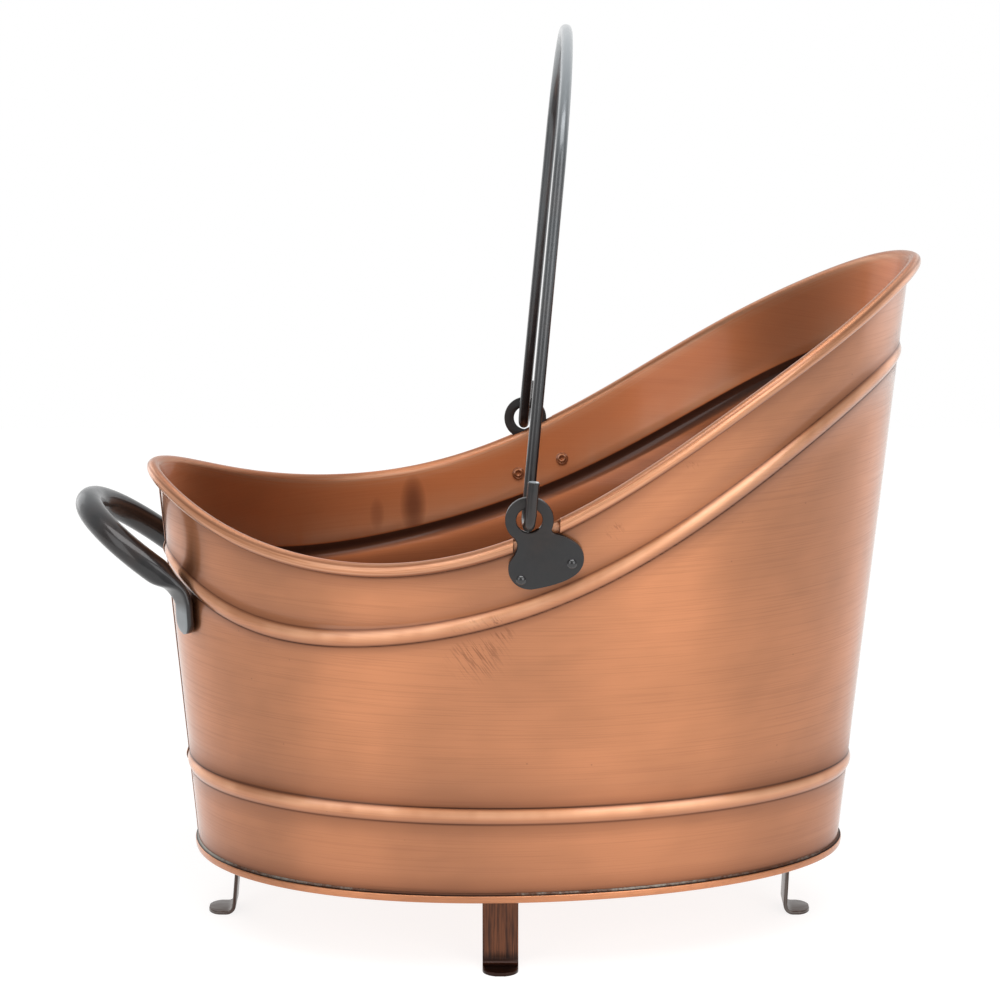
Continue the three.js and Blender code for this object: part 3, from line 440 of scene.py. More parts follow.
def sheet_tree():
    """Lays a flat pattern on the body. Each vertex says its angle, the height of its line and how that
    line rises there, how far out of the face and up from the line it is, and how far inward."""
    name = "sheet_on_body"
    if name in bpy.data.node_groups:
        return bpy.data.node_groups[name]
    inputs = {"Geometry": GEOMETRY, "Material": MATERIAL, "Stand": VECTOR}
    inputs |= dict.fromkeys(BODY_INPUTS, FLOAT)
    inputs |= {"Lump Height": FLOAT, "Lumps per Metre": FLOAT, "Seed": FLOAT}
    tree = new_tree(name, inputs, {"Geometry": GEOMETRY})
    given = add_node(tree, "NodeGroupInput").outputs
    own = {
        label: add_node(tree, NAMED, {"Name": label}, data_type="FLOAT")
        for label in ("angle", "line", "rise", "out", "up", "inward", "slack")
    }

    def face(angle, height):
        """Point of the body's face."""
        sizes = {label: given[label] for label in BODY_INPUTS}
        node = add_node(tree, "GeometryNodeGroup", node_tree=face_tree())
        for label, socket in {"Angle": angle, "Height": height, **sizes}.items():
            tree.links.new(socket, node.inputs[label])
        return node

    ahead = add_node(tree, MATH, {0: own["angle"], 1: STEP}, operation="ADD")
    behind = add_node(tree, MATH, {0: own["angle"], 1: STEP}, operation="SUBTRACT")
    points = [face(angle.outputs[0], own["line"].outputs[0]) for angle in (ahead, behind)]
    along = add_node(tree, VECTOR_MATH, dict(enumerate(points)), operation="SUBTRACT")
    run = add_node(tree, VECTOR_MATH, {0: along}, operation="LENGTH").outputs["Value"]
    slope = add_node(tree, MATH, {0: own["rise"], 1: run}, operation="DIVIDE")
    square = add_node(tree, MATH, {0: slope, 1: slope, 2: 1.0}, operation="MULTIPLY_ADD")
    stretch = add_node(tree, MATH, {0: square}, operation="SQRT")
    height = add_node(tree, MATH, {0: own["up"], 1: stretch, 2: own["line"]}, operation="MULTIPLY_ADD")
    flat = add_node(tree, SEPARATE, {0: along}).outputs
    aside = add_node(tree, MATH, {0: flat["X"], 1: -1.0}, operation="MULTIPLY")
    square_on = add_node(tree, COMBINE, {0: flat["Y"], 1: aside})
    outward = add_node(tree, VECTOR_MATH, {0: square_on}, operation="NORMALIZE")
    place = face(own["angle"].outputs[0], height.outputs[0])
    # Unevenness of hand-worked sheet, as lumps along the same outward way.
    grain = {"Vector": place, "W": given["Seed"], "Scale": given["Lumps per Metre"], "Detail": 2.0}
    lumps = add_node(tree, NOISE, grain, noise_dimensions="4D")
    centred = add_node(tree, MATH, {0: lumps, 1: 0.5}, operation="SUBTRACT")
    loose = add_node(tree, MATH, {0: centred, 1: own["slack"]}, operation="MULTIPLY")
    uneven = add_node(
        tree, MATH, {0: loose, 1: given["Lump Height"], 2: own["out"]}, operation="MULTIPLY_ADD"
    )
    shifted = add_node(tree, VECTOR_MATH, {0: outward, "Scale": uneven}, operation="SCALE")
    laid = add_node(tree, VECTOR_MATH, {0: place, 1: shifted}, operation="ADD")
    kept = add_node(tree, MATH, {0: 1.0, 1: own["inward"]}, operation="SUBTRACT")
    narrowed = add_node(tree, COMBINE, {0: kept, 1: kept, 2: 1.0})
    final = add_node(
        tree, VECTOR_MATH, {0: laid, 1: narrowed, 2: given["Stand"]}, operation="MULTIPLY_ADD"
    )
    moved = add_node(tree, "GeometryNodeSetPosition", {"Geometry": given["Geometry"], "Position": final})
    closed = add_node(tree, "GeometryNodeMergeByDistance", {"Geometry": moved, "Distance": TOGETHER})
    finish_tree(tree, creased(tree, closed), given["Material"])
    return tree


def rod_tree():
    """Round rod along a line of points; `girth` narrows it at a point."""
    name = "rod_along_line"
    if name in bpy.data.node_groups:
        return bpy.data.node_groups[name]
    inputs = {"Geometry": GEOMETRY, "Material": MATERIAL, "Diameter": FLOAT, "Sides": "NodeSocketInt"}
    tree = new_tree(name, inputs, {"Geometry": GEOMETRY})
    given = add_node(tree, "NodeGroupInput").outputs
    girth = add_node(tree, NAMED, {"Name": "girth"}, data_type="FLOAT")
    line = add_node(tree, "GeometryNodeMeshToCurve", {"Mesh": given["Geometry"]})
    radius = add_node(tree, MATH, {0: given["Diameter"], 1: 0.5}, operation="MULTIPLY")
    section = add_node(
        tree, "GeometryNodeCurvePrimitiveCircle", {"Resolution": given["Sides"], "Radius": radius}
    )
    skin = add_node(
        tree,
        "GeometryNodeCurveToMesh",
        {"Curve": line, "Profile Curve": section, "Scale": girth, "Fill Caps": True},
    )
    closed = add_node(tree, "GeometryNodeMergeByDistance", {"Geometry": skin, "Distance": TOGETHER})
    finish_tree(tree, creased(tree, closed), given["Material"])
    return tree


def rivet_tree():
    """A rivet at every point, standing along the point's `axis`."""
    name = "rivets_at_points"
    if name in bpy.data.node_groups:
        return bpy.data.node_groups[name]
    inputs = {"Geometry": GEOMETRY, "Material": MATERIAL, "Rivet": "NodeSocketObject"}
    tree = new_tree(name, inputs, {"Geometry": GEOMETRY})
    given = add_node(tree, "NodeGroupInput").outputs
    axis = add_node(tree, NAMED, {"Name": "axis"}, data_type="FLOAT_VECTOR")
    stand = add_node(tree, "FunctionNodeAlignRotationToVector", {"Vector": axis}, axis="Z")
    rivet = add_node(tree, "GeometryNodeObjectInfo", {"Object": given["Rivet"]}).outputs["Geometry"]
    copies = add_node(
        tree,
        "GeometryNodeInstanceOnPoints",
        {"Points": given["Geometry"], "Instance": rivet, "Rotation": stand},
    )
    real = add_node(tree, "GeometryNodeRealizeInstances", {"Geometry": copies})
    finish_tree(tree, creased(tree, real), given["Material"])
    return tree


def shaped(name, mesh, tree, values):
    """Runs a tree over a mesh with these input values and returns the plain object that it makes."""
    source = bpy.data.objects.new(name + "_pattern", mesh)
    bpy.context.collection.objects.link(source)
    modifier = source.modifiers.new(tree.name, "NODES")
    modifier.node_group = tree
    items = tree.interface.items_tree
    sockets = {item.name: item.identifier for item in items if item.in_out == "INPUT"}
    for label, value in values.items():
        modifier[sockets[label]] = value
    graph = bpy.context.evaluated_depsgraph_get()
    made = bpy.data.meshes.new_from_object(source.evaluated_get(graph), depsgraph=graph)
    bpy.data.objects.remove(source)
    made.name = name
    return place(name, made)


def place(name, mesh):
    """New object at the origin that shows a mesh."""
    piece = bpy.data.objects.new(name, mesh)
    bpy.context.collection.objects.link(piece)
    return piece


def ride(piece, body, slot, *nodes):
    """Fixes a finished piece to its body and hides the nodes that it stands for; its slot is not used.
    """
    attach(piece, body)
    if nodes:
        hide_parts(*nodes)


# ---------------------------------------------------------------- lines and rows on the body

Row = namedtuple("Row", "line out up inward", defaults=(0.0,))


def level(angle):
    """The floor's line."""
    return np.zeros_like(angle)


def round_curve(values):
    """Smooth line, the same on both sides, through values at even steps from the front to the back."""
    last = len(values) - 1
    share = [0.5 if k in (0, last) else 1.0 for k in range(last + 1)]

    def wave(k):
        """Height of the k-th cosine wave."""
        parts = (share[i] * values[i] * math.cos(math.pi * k * i / last) for i in range(last + 1))
        return 2 / last * share[k] * sum(parts)

    waves = [wave(k) for k in range(last + 1)]

    def line(angle):
        """Height of the line at an angle."""
        return sum(wave * np.cos(k * angle) for k, wave in enumerate(waves))

    return line


def rim_line(body):
    """The top of the rolled rim."""
    return round_curve(list(body.rim_heights))


def rim_height(body, angle):
    """Height of the rim at one angle."""
    return float(rim_line(body)(np.array([angle]))[0])


def upper_rib_line(body):
    """The middle of the upper rib."""
    return round_curve([height - drop for height, drop in zip(body.rim_heights, body.rib_drops)])


def lower_rib_line(body):
    """The middle of the lower rib."""

    def line(angle):
        """The same height all round."""
        return np.full_like(angle, body.lower_rib)

    return line


def row_between(low, high, t):
    """Row at a share of the way from one row to another."""

    def line(angle):
        """Line of the row."""
        return (1 - t) * low.line(angle) + t * high.line(angle)

    return Row(line, (1 - t) * low.out + t * high.out, (1 - t) * low.up + t * high.up)


def between(low, high, count):
    """Rows evenly between two rows, without them."""
    return [row_between(low, high, t) for t in np.linspace(0, 1, count + 2)[1:-1]]


def rib_rows(body, line, out, count=14):
    """A rounded bead that leaves the face at a crease on both sides."""
    shares = np.linspace(-0.5, 0.5, count + 1)
    return [
        Row(line, out + body.rib_proud * math.cos(math.pi * share), share * body.rib_width)
        for share in shares
    ]


def curl_radii(body):
    """Radii of the roll's inner and outer face."""
    inside = body.rim_wire / 2 + body.clearance
    return inside, inside + body.sheet


def curl_rows(body, radius, count=24):
    """The roll, from the top of the wall up, out, down and back in, pressed a little flat outside."""
    inside, outside = curl_radii(body)
    turns = [math.pi - body.curl * i / count for i in range(count + 1)]
    line = rim_line(body)
    outs = [inside + radius * min(math.cos(t), body.flat * math.cos(t)) for t in turns]
    return [Row(line, out, radius * math.sin(t) - outside) for out, t in zip(outs, turns)]


def face_rows(body, out, top):
    """Rows up one face of the wall, from its foot to the row below the roll."""
    foot = Row(level, out, body.sheet + body.clearance)
    lower = rib_rows(body, lower_rib_line(body), out)
    upper = rib_rows(body, upper_rib_line(body), out)
    return [
        foot,
        *between(foot, lower[0], 5),
        *lower,
        *between(lower[-1], upper[0], 10),
        *upper,
        *between(upper[-1], top, 5),
    ]


def ring_angles(stops, count):
    """Angles once round, about evenly spaced, with one at each stop."""
    stops = [0, *stops, 2 * math.pi]
    parts = [
        np.linspace(a, b, max(2, round(count * (b - a) / (2 * math.pi))), endpoint=False)
        for a, b in zip(stops, stops[1:])
    ]
    return np.concatenate(parts)


def stretch_along(body, line, angle):
    """How much longer than its width across a step straight up a sloping line is."""
    z = line(angle)
    run = 2 * STEP * np.hypot(
        (body.half_length + body.end_flare * z) * np.sin(angle),
        (body.half_width + body.side_flare * z) * np.cos(angle),
    )
    return np.hypot(1, (line(angle + STEP) - line(angle - STEP)) / run)


def pattern(name, body, rows, angles, faces, outs=None, slack=None):
    """Flat pattern of a sheet: a grid of vertices, one row for each line round the body. What the sheet
    tree and the finishes need is kept on the vertices: the distances are from the rim and the ribs."""
    angle = np.broadcast_to(angles, (len(rows), angles.shape[-1])).astype(float)
    values = {"angle": angle}
    values["line"] = np.array([row.line(a) for row, a in zip(rows, angle)])
    values["rise"] = np.array([row.line(a + STEP) - row.line(a - STEP) for row, a in zip(rows, angle)])
    for key in ("out", "up", "inward"):
        column = np.array([getattr(row, key) for row in rows])[:, None]
        values[key] = np.broadcast_to(column, angle.shape)
    if outs is not None:
        values["out"] = values["out"] + outs
    stretch = np.array([stretch_along(body, row.line, a) for row, a in zip(rows, angle)])
    height = values["line"] + values["up"] * stretch
    lines = {
        "below_rim": rim_line(body),
        "over_upper_rib": upper_rib_line(body),
        "over_lower_rib": lower_rib_line(body),
    }
    for key, line in lines.items():
        values[key] = (height - line(angle)) / stretch_along(body, line, angle)
    # The roll and the hem hold the sheet straight; between them it may be uneven.
    from_rim = -values["below_rim"] / (9 * MM) - 1
    from_floor = height / (8 * MM) - 0.5
    values["slack"] = np.clip(np.minimum(from_rim, from_floor), 0, 1)
    if slack is not None:
        values["slack"] = np.full_like(height, slack)
    mesh = bpy.data.meshes.new(name)
    flat = np.stack([angle, height, values["out"]], -1).reshape(-1, 3)
    mesh.from_pydata(flat.tolist(), [], faces)
    for key, array in values.items():
        keep_numbers(mesh, key, np.ascontiguousarray(array, np.float32).ravel())
    columns = angle.shape[1]
    around = np.arange(columns + 1) / columns * 2 * math.pi * body.half_length
    lay_grain(mesh, around, height.ravel())
    return mesh


def lay_grain(mesh, around, along):
    """UV map in metres, so that a finish can follow the piece: how far round its row each vertex is and
    how far along the piece. `around` has a last value more, for where a row closes."""
    columns = len(around) - 1
    coords = []
    for polygon in mesh.polygons:
        spots = [vertex % columns for vertex in polygon.vertices]
        closes = len(spots) == 4 and max(spots) - min(spots) > 1
        for vertex, spot in zip(polygon.vertices, spots):
            coords += [around[columns if closes and spot == 0 else spot], along[vertex]]
    mesh.uv_layers.new(name="grain").data.foreach_set("uv", coords)


def grid_faces(rows, columns, wrap_rows=False, wrap_columns=True, skip=lambda r, i: False):
    """Quads between neighbouring vertices of a grid."""
    faces = []
    for r in range(rows if wrap_rows else rows - 1):
        for i in range(columns if wrap_columns else columns - 1):
            if not skip(r, i):
                up, on = (r + 1) % rows, (i + 1) % columns
                faces.append((r * columns + i, r * columns + on, up * columns + on, up * columns + i))
    return faces


def mend(mesh, apart=0.0):
    """Joins vertices nearer than `apart`, drops loose ones and points the faces outwards."""
    work = bmesh.new()
    work.from_mesh(mesh)
    if apart:
        bmesh.ops.remove_doubles(work, verts=work.verts, dist=apart)
    bmesh.ops.delete(work, geom=[v for v in work.verts if not v.link_faces], context="VERTS")
    bmesh.ops.recalc_face_normals(work, faces=work.faces)
    work.to_mesh(mesh)
    work.free()


def stand(body):
    """Where the body's own origin, the middle of the floor's underside, stands in the frame."""
    low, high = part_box("floor_pan")
    drift = body.forward_drift * body.hem_height
    return Vector(((low.x + high.x) / 2 - drift, (low.y + high.y) / 2, low.z))


def body_values(body):
    """The body's sizes and place, as inputs of the sheet tree."""
    return {label: getattr(body, key) for label, key in BODY_INPUTS.items()} | {"Stand": stand(body)}


def lay(name, mesh, body, material, lump, lumps, seed):
    """Object made by laying a pattern on the body, uneven by so much and so many lumps to the metre."""
    values = {"Lump Height": lump, "Lumps per Metre": lumps, "Seed": seed, "Material": material}
    piece = shaped(name, mesh, sheet_tree(), body_values(body) | values)
    mend(piece.data)
    return piece


def body_points(body, places):
    """Points of the body's face, each from its angle, height and distance out."""
    mesh = bpy.data.meshes.new("places")
    mesh.from_pydata([(i, 0, 0) for i in range(len(places))], [], [])
    for key, column in {"angle": 0, "line": 1, "out": 2}.items():
        keep_numbers(mesh, key, [spot[column] for spot in places])
    found = shaped("places", mesh, sheet_tree(), body_values(body) | {"Lumps per Metre": 1.0})
    points = [vertex.co.copy() for vertex in found.data.vertices]
    bpy.data.objects.remove(found)
    return points


def wall_frame(body, angle, height):
    """Frame on the body's face: x level and anticlockwise, y up the wall, z outwards."""
    step, turned = MM, 5 * STEP
    ways = ((0, 0), (turned, 0), (-turned, 0), (0, step), (0, -step))
    here, ahead, behind, above, below = body_points(
        body, [(angle + aside, height + up, 0) for aside, up in ways]
    )
    x = (ahead - behind).normalized()
    y = above - below
    y = (y - x * y.dot(x)).normalized()
    basis = Matrix((x, y, x.cross(y))).transposed().to_4x4()
    basis.translation = here
    return basis


# ---------------------------------------------------------------- body, floor, solder


EDGE_ROWS = 6  # rows of the roll up which the sheet's edge reaches in the gap at an ear


def wall_mesh(body, ear):
    """Pattern of the wall: up the outside, round the roll and down the inside. The roll is left out
    between the ends of the gap at each ear, where the sheet's edge is closed straight across."""
    reach = body.half_length + body.end_flare * rim_height(body, ear.angle)
    start = ear.angle - (ear.notch_front - ear.eye_back) / reach
    end = ear.angle + (ear.notch_rear + ear.eye_back) / reach
    stops = [start, end, 2 * math.pi - end, 2 * math.pi - start]
    angles = ring_angles(stops, 360)
    inside, outside = curl_radii(body)
    curl_inner = curl_rows(body, inside)
    curl_outer = curl_rows(body, outside)
    outer_face = face_rows(body, 0, curl_inner[0])
    inner_face = face_rows(body, -body.sheet, curl_outer[0])
    rows = [*outer_face, *curl_inner, *reversed(curl_outer), *reversed(inner_face)]
    columns = len(angles)
    first = len(outer_face) + EDGE_ROWS
    last = first + 2 * (len(curl_inner) - EDGE_ROWS) - 1
    gaps = [(stops[0], stops[1]), (stops[2], stops[3])]
    nearly = 1e-9  # radians
    in_gap = [any(low <= angle + nearly < high for low, high in gaps) for angle in angles]
    faces = grid_faces(
        len(rows), columns, wrap_rows=True, skip=lambda r, i: in_gap[i] and first <= r < last
    )
    for i, gap in enumerate(in_gap):
        on = (i + 1) % columns
        if gap:
            corners = ((first, i), (first, on), (last, on), (last, i))
            faces.append(tuple(r * columns + column for r, column in corners))
        if gap != in_gap[i - 1]:
            for k in range(len(curl_inner) - EDGE_ROWS - 1):
                ring = (first + k, first + k + 1, last - k - 1, last - k)
                faces.append(tuple(r * columns + i for r in ring))
    # In the gap the sheet stands straight up instead of starting its roll.
    upright = np.zeros((len(rows), columns))
    for i, gap in enumerate(in_gap):
        if gap and in_gap[i - 1]:
            for r in range(first - EDGE_ROWS, first + 1):
                upright[r, i] = -rows[r].out
    mesh = pattern("body_sheet", body, rows, angles, faces, upright)
    # The finish changes from the outside's to the inside's over a quarter turn, from the roll's outer
    # side to its top.
    over = last - round(len(curl_outer) * 90 / math.degrees(body.curl))
    share = np.clip((np.arange(len(rows)) - over) / (last - over), 0, 1)
    keep_numbers(mesh, "inner", np.repeat(share, columns))
    return mesh


# The seam's section, as shares of half its width and of its height: a flat fold with a groove along
# one edge.
SEAM_SECTION = (
    (-1, 0.45),
    (-0.93, 0.8),
    (-0.8, 1),
    (0, 1.05),
    (0.62, 1),
    (0.74, 0.82),
    (0.78, 0.5),
    (0.84, 0.5),
    (0.95, 0.42),
    (1, 0.25),
)


def seam_mesh(body):
    """Pattern of the lock seam, which runs up the back over the ribs."""
    half = body.seam_width / 2
    proud = body.seam_proud
    sunk = -0.4 * body.sheet
    outline = [(-half, sunk), *((x * half, y * proud) for x, y in SEAM_SECTION), (half, sunk)]
    bottom = Row(level, 0, body.hem_height + body.solder_height + 2 * body.clearance)
    lower = rib_rows(body, lower_rib_line(body), 0)
    upper = rib_rows(body, upper_rib_line(body), 0)
    top = Row(rim_line(body), 0, -2 * curl_radii(body)[1] - body.clearance)
    rows = [
        bottom,
        *between(bottom, lower[0], 6),
        *lower,
        *between(lower[-1], upper[0], 16),
        *upper,
        *between(upper[-1], top, 5),
        top,
    ]
    angles = np.array([math.pi + side / body.end_radius for side, _ in outline])
    outs = np.array([out for _, out in outline])
    columns = len(outline)
    faces = grid_faces(len(rows), columns)
    faces += [tuple(range(columns)), tuple((len(rows) - 1) * columns + i for i in range(columns))]
    mesh = pattern("back_seam", body, rows, angles, faces, outs)
    # Patina fills the groove and the edges, and a little of it lies on the fold.
    dark = [1.0 if out < 0.8 * proud else 0.3 for out in outs]
    keep_numbers(mesh, "crease", dark * len(rows))
    return mesh


def arc(middle, radius, start, end, count):
    """Points on an arc, as pairs."""
    turns = np.linspace(start, end, count + 1)
    return [(middle[0] + radius * math.cos(t), middle[1] + radius * math.sin(t)) for t in turns]


def floor_mesh(body):
    """Pattern of the floor: the underside, the hem folded up outside the wall and the top."""
    inner = body.clearance
    outer = inner + body.hem_thickness
    fold = 0.75 * body.hem_thickness
    lip = 0.45 * body.hem_thickness
    top = body.hem_height
    # The hem's side bulges a little between its fold and its lip.
    bulge, bulge_turn = 2.25 * fold, 0.28
    profile = [
        *arc((outer - fold, fold), fold, -math.pi / 2, 0, 6),
        *arc((outer - 2.2 * fold, 0.5 * top), bulge, -bulge_turn, bulge_turn, 6),
        *arc((outer - lip, top - lip), lip, 0, math.pi / 2, 4),
        (inner, top),
        (inner, body.sheet),
    ]
    inward = (0.05, 0.2, 0.4, 0.6, 0.8, 0.97, 1)
    rows = [Row(level, profile[0][0], 0, share) for share in reversed(inward)]
    rows += [Row(level, out, up) for out, up in profile]
    rows += [Row(level, inner, body.sheet, share) for share in inward]
    angles = ring_angles([], 360)
    return pattern("floor_sheet", body, rows, angles, grid_faces(len(rows), len(angles)), slack=0)


def solder_mesh(body):
    """Pattern of the solder: a hollow fillet along the hem's top edge."""
    foot = body.hem_height + 0.4 * body.clearance
    inner = 0.3 * body.clearance
    width, height = body.solder_width, body.solder_height
    profile = [(inner, foot), (inner + width, foot)]
    for share in (0.12, 0.3, 0.5, 0.72, 0.9):
        profile.append((inner + width * (1 - share) ** 1.6, foot + height * share**1.3))
    profile.append((inner, foot + height))
    rows = [Row(level, out, up) for out, up in profile]
    angles = ring_angles([], 720)
    faces = grid_faces(len(rows), len(angles), wrap_rows=True)
    return pattern("solder_run", body, rows, angles, faces, slack=0.4)


# ---------------------------------------------------------------- ears


def quadratic(start, pull, end, count=8):
    """Points of a quadratic curve, without its ends."""
    shares = np.linspace(0, 1, count + 1)[1:-1]
    a, b, c = (np.array(p) for p in (start, pull, end))
    return [tuple((1 - t) ** 2 * a + 2 * t * (1 - t) * b + t**2 * c) for t in shares]


def ear_outline(ear):
    """Outline from outside: the ring round the eye, running into two round lobes below it."""
    ring = ear.ring / 2
    head = arc((0, 0), ring, math.radians(-24), math.radians(222), 40)
    rear = arc(ear.rear_lobe, ear.lobe, math.radians(160), math.radians(280), 20)
    front = arc(ear.front_lobe, ear.lobe, math.radians(-45), math.radians(62), 20)
    # The hollows beside the ring, as shares of its radius: a turning point in front, and the pulls.
    shares = ((1.1, -0.6), (-0.21, -1.07), (1.4, -0.64), (0.95, -0.58))
    neck, rear_pull, front_pull, neck_pull = ((x * ring, y * ring) for x, y in shares)
    return [
        *head,
        *quadratic(head[-1], rear_pull, rear[0]),
        *rear,
        *quadratic(rear[-1], tuple(ear.under), front[0]),
        *front,
        *quadratic(front[-1], front_pull, neck),
        neck,
        *quadratic(neck, neck_pull, head[0]),
    ]


def flat_plate(name, outlines, thickness, edge):
    """Flat plate with rounded edges, from an outline and holes, standing on z = 0."""
    curve = bpy.data.curves.new(name, "CURVE")
    curve.dimensions = "2D"
    curve.fill_mode = "BOTH"
    curve.extrude = thickness / 2 - edge
    curve.bevel_depth = edge
    curve.bevel_resolution = 2
    curve.offset = -edge
    for outline in outlines:
        spline = curve.splines.new("POLY")
        spline.points.add(len(outline) - 1)
        spline.points.foreach_set("co", [value for x, y in outline for value in (x, y, 0, 1)])
        spline.use_cyclic_u = True
    source = place(name, curve)
    graph = bpy.context.evaluated_depsgraph_get()
    mesh = bpy.data.meshes.new_from_object(source.evaluated_get(graph), depsgraph=graph)
    bpy.data.objects.remove(source)
    mesh.transform(Matrix.Translation((0, 0, thickness / 2)))
    return mesh


def finish_mesh(mesh, material):
    """Closes a mesh, shades it smooth up to its creases and dresses it."""
    mend(mesh, TOGETHER)
    mesh.shade_smooth()
    mesh.set_sharp_from_angle(angle=SHARP)
    mesh.materials.clear()
    mesh.materials.append(material)
    return mesh


def ear_mesh(body, ear, side):
    """Ear plate, seated on the wall of its side."""
    eye = arc((0, 0), ear.eye / 2, 0, 2 * math.pi, 40)[:-1]
    mesh = flat_plate("ear", [ear_outline(ear), eye], ear.thickness, ear.edge)
    seat = Matrix.Translation((side * ear.eye_back, ear.eye_rise, ear.seat))
    mirror = Matrix.Diagonal((-side, 1, 1, 1))
    mesh.transform(wall_frame(body, side * ear.angle, rim_height(body, ear.angle)) @ seat @ mirror)
    return mesh


# ---------------------------------------------------------------- rods and strips


def line_mesh(name, points, girths):
    """Line of points with a `girth` at each."""
    mesh = bpy.data.meshes.new(name)
    mesh.from_pydata([tuple(p) for p in points], [(i, i + 1) for i in range(len(points) - 1)], [])
    keep_numbers(mesh, "girth", girths)
    return mesh


def bail_points(bail):
    """Rod's axis about the pivot's line, from one hook's end over the arch to the other's."""
    pivot = Vector(frame["joints"][0]["pos_m"])
    hook = (bail.hook_inside + bail.hook_outside) / 2
    middle = ear_plane(pivot) + (bail.hook_outside - bail.hook_inside) / 2 - bail.hook_set_in
    leg_foot = Vector((middle - hook, hook))
    shoulder = Vector((bail.shoulder_half, bail.shoulder))
    way = (shoulder - leg_foot).normalized()
    half = [Vector((middle + hook, z)) for z in np.linspace(bail.hook_end, hook, 5)[:-1]]
    half += [Vector(p) for p in arc((middle, hook), hook, 0, -math.pi, 24)]
    half += [leg_foot.lerp(shoulder, share) for share in np.linspace(0, 1, 12)[1:-1]]
    rise = bail.top - bail.shoulder
    corners = (
        shoulder,
        shoulder + way * QUARTER * rise,
        Vector((QUARTER * bail.shoulder_half, bail.top)),
        Vector((0, bail.top)),
    )
    half += interpolate_bezier(*(corner.to_3d() for corner in corners), 40)
    left = []
    for point in half:
        across = min(max((point[0] - leg_foot.x) / (2 * hook), 0), 1)  # from the leg to the hook's end
        left.append(Vector((bail.hook_twist * (across - 0.5), point[0], point[1])))
    right = [Vector((p.x, -p.y, p.z)) for p in reversed(left[:-1])]
    lean = Matrix.Translation((pivot.x, 0, pivot.z)) @ Matrix.Rotation(bail.lean, 4, "Y")
    return [lean @ p for p in left + right]


def ear_plane(pivot):
    """How far out the left ear's plate lies at the pivot."""
    points = [v.co for v in frame["nodes"]["ear_left"].data.vertices]
    eye = 8 * MM
    near = [p.y for p in points if math.hypot(p.x - pivot.x, p.z - pivot.z) < eye]
    return (min(near) + max(near)) / 2


def sweep(points, ways, sections):
    """Rings round a line of points. A point's section is an outline on two axes across the line, of
    which the second leans to the point's way."""
    rings = []
    before = [points[0], *points[:-1]]
    after = [*points[1:], points[-1]]
    for last, point, following, v, section in zip(before, points, after, ways, sections):
        along = (following - last).normalized()
        v = (v - along * v.dot(along)).normalized()
        u = v.cross(along)
        rings.append([point + u * a + v * b for a, b in section])
    return rings


def skin(name, rings):
    """Closed mesh over rings of points, with both ends filled and a UV map."""
    sides = len(rings[0])
    faces = grid_faces(len(rings), sides)
    faces += [tuple(range(sides)), tuple((len(rings) - 1) * sides + i for i in range(sides))]
    mesh = bpy.data.meshes.new(name)
    mesh.from_pydata([tuple(p) for ring in rings for p in ring], [], faces)
    first = rings[0]
    around = np.cumsum([0.0, *((b - a).length for a, b in zip(first, [*first[1:], first[0]]))])
    along = np.cumsum([0.0, *((b[0] - a[0]).length for a, b in zip(rings, rings[1:]))])
    lay_grain(mesh, around, np.repeat(along, sides))
    return mesh


def even_points(points, step):
    """The same line with points about `step` apart, and how far along it each is."""
    runs = np.cumsum([0.0, *((b - a).length for a, b in zip(points, points[1:]))])
    spots = np.linspace(0, runs[-1], max(2, round(runs[-1] / step)))
    coords = np.array([tuple(p) for p in points])
    even = np.stack([np.interp(spots, runs, coords[:, k]) for k in range(3)], 1)
    return [Vector(p) for p in even], list(spots)


def handle_line(handle, wall):
    """Axis of half the handle, from the foot of the left palm to the loop's far end, and how far along
    it each point is."""
    middle = handle.seat + handle.palm_thickness / 2

    def spot(up, out=0.0):
        """Point so far up from the palm's upper end and out from its middle."""
        return wall @ Vector((0, up, middle + out))

    elbow_up, elbow_out = handle.elbow
    elbow = spot(elbow_up, elbow_out)
    elbow.y = handle.half_span
    slope = Vector((-math.cos(handle.rise), 0, math.sin(handle.rise)))
    end = elbow + slope * handle.reach
    end.y = 0
    pull = end.copy()
    pull.y = QUARTER * handle.half_span
    foot, top = spot(-handle.palm_length), spot(0)
    palm = [foot.lerp(top, t) for t in np.linspace(0, 1, 30)]
    rise = interpolate_bezier(top, spot(0.3 * elbow_up), elbow - slope * 0.8 * elbow_out, elbow, 60)
    loop = interpolate_bezier(elbow, elbow + slope * QUARTER * handle.reach, pull, end, 80)
    return even_points([*palm, *rise[1:], *loop[1:]], 1.2 * MM)


def grown(handle, run):
    """How round the bar is at this distance along it: 0 in the palm and 1 in the loop."""
    low, high = handle.growth
    share = min(max((run - handle.palm_length - low) / (high - low), 0), 1)
    return share * share * (3 - 2 * share)


def handle_section(handle, run):
    """Section of the bar at this distance along it: flat with blunt edges in the palm, whose end is a
    half circle, and round in the loop."""
    flat = 1 - grown(handle, run)
    radius = handle.palm_width / 2
    short = max(radius - run, 0) / radius
    palm = max(handle.palm_width * math.sqrt(max(1 - short**2, 0)), 0.6 * MM)
    width = (1 - flat) * handle.bar + flat * palm
    thick = (1 - flat) * handle.bar + flat * handle.palm_thickness * (1 - 0.35 * short**3)
    blunt = 1 - 0.6 * flat
    turns = np.linspace(0, 2 * math.pi, 40, endpoint=False)
    c, s = np.cos(turns), np.sin(turns)
    x = width / 2 * np.sign(c) * abs(c) ** blunt
    y = thick / 2 * np.sign(s) * abs(s) ** blunt
    return list(zip(x, y))


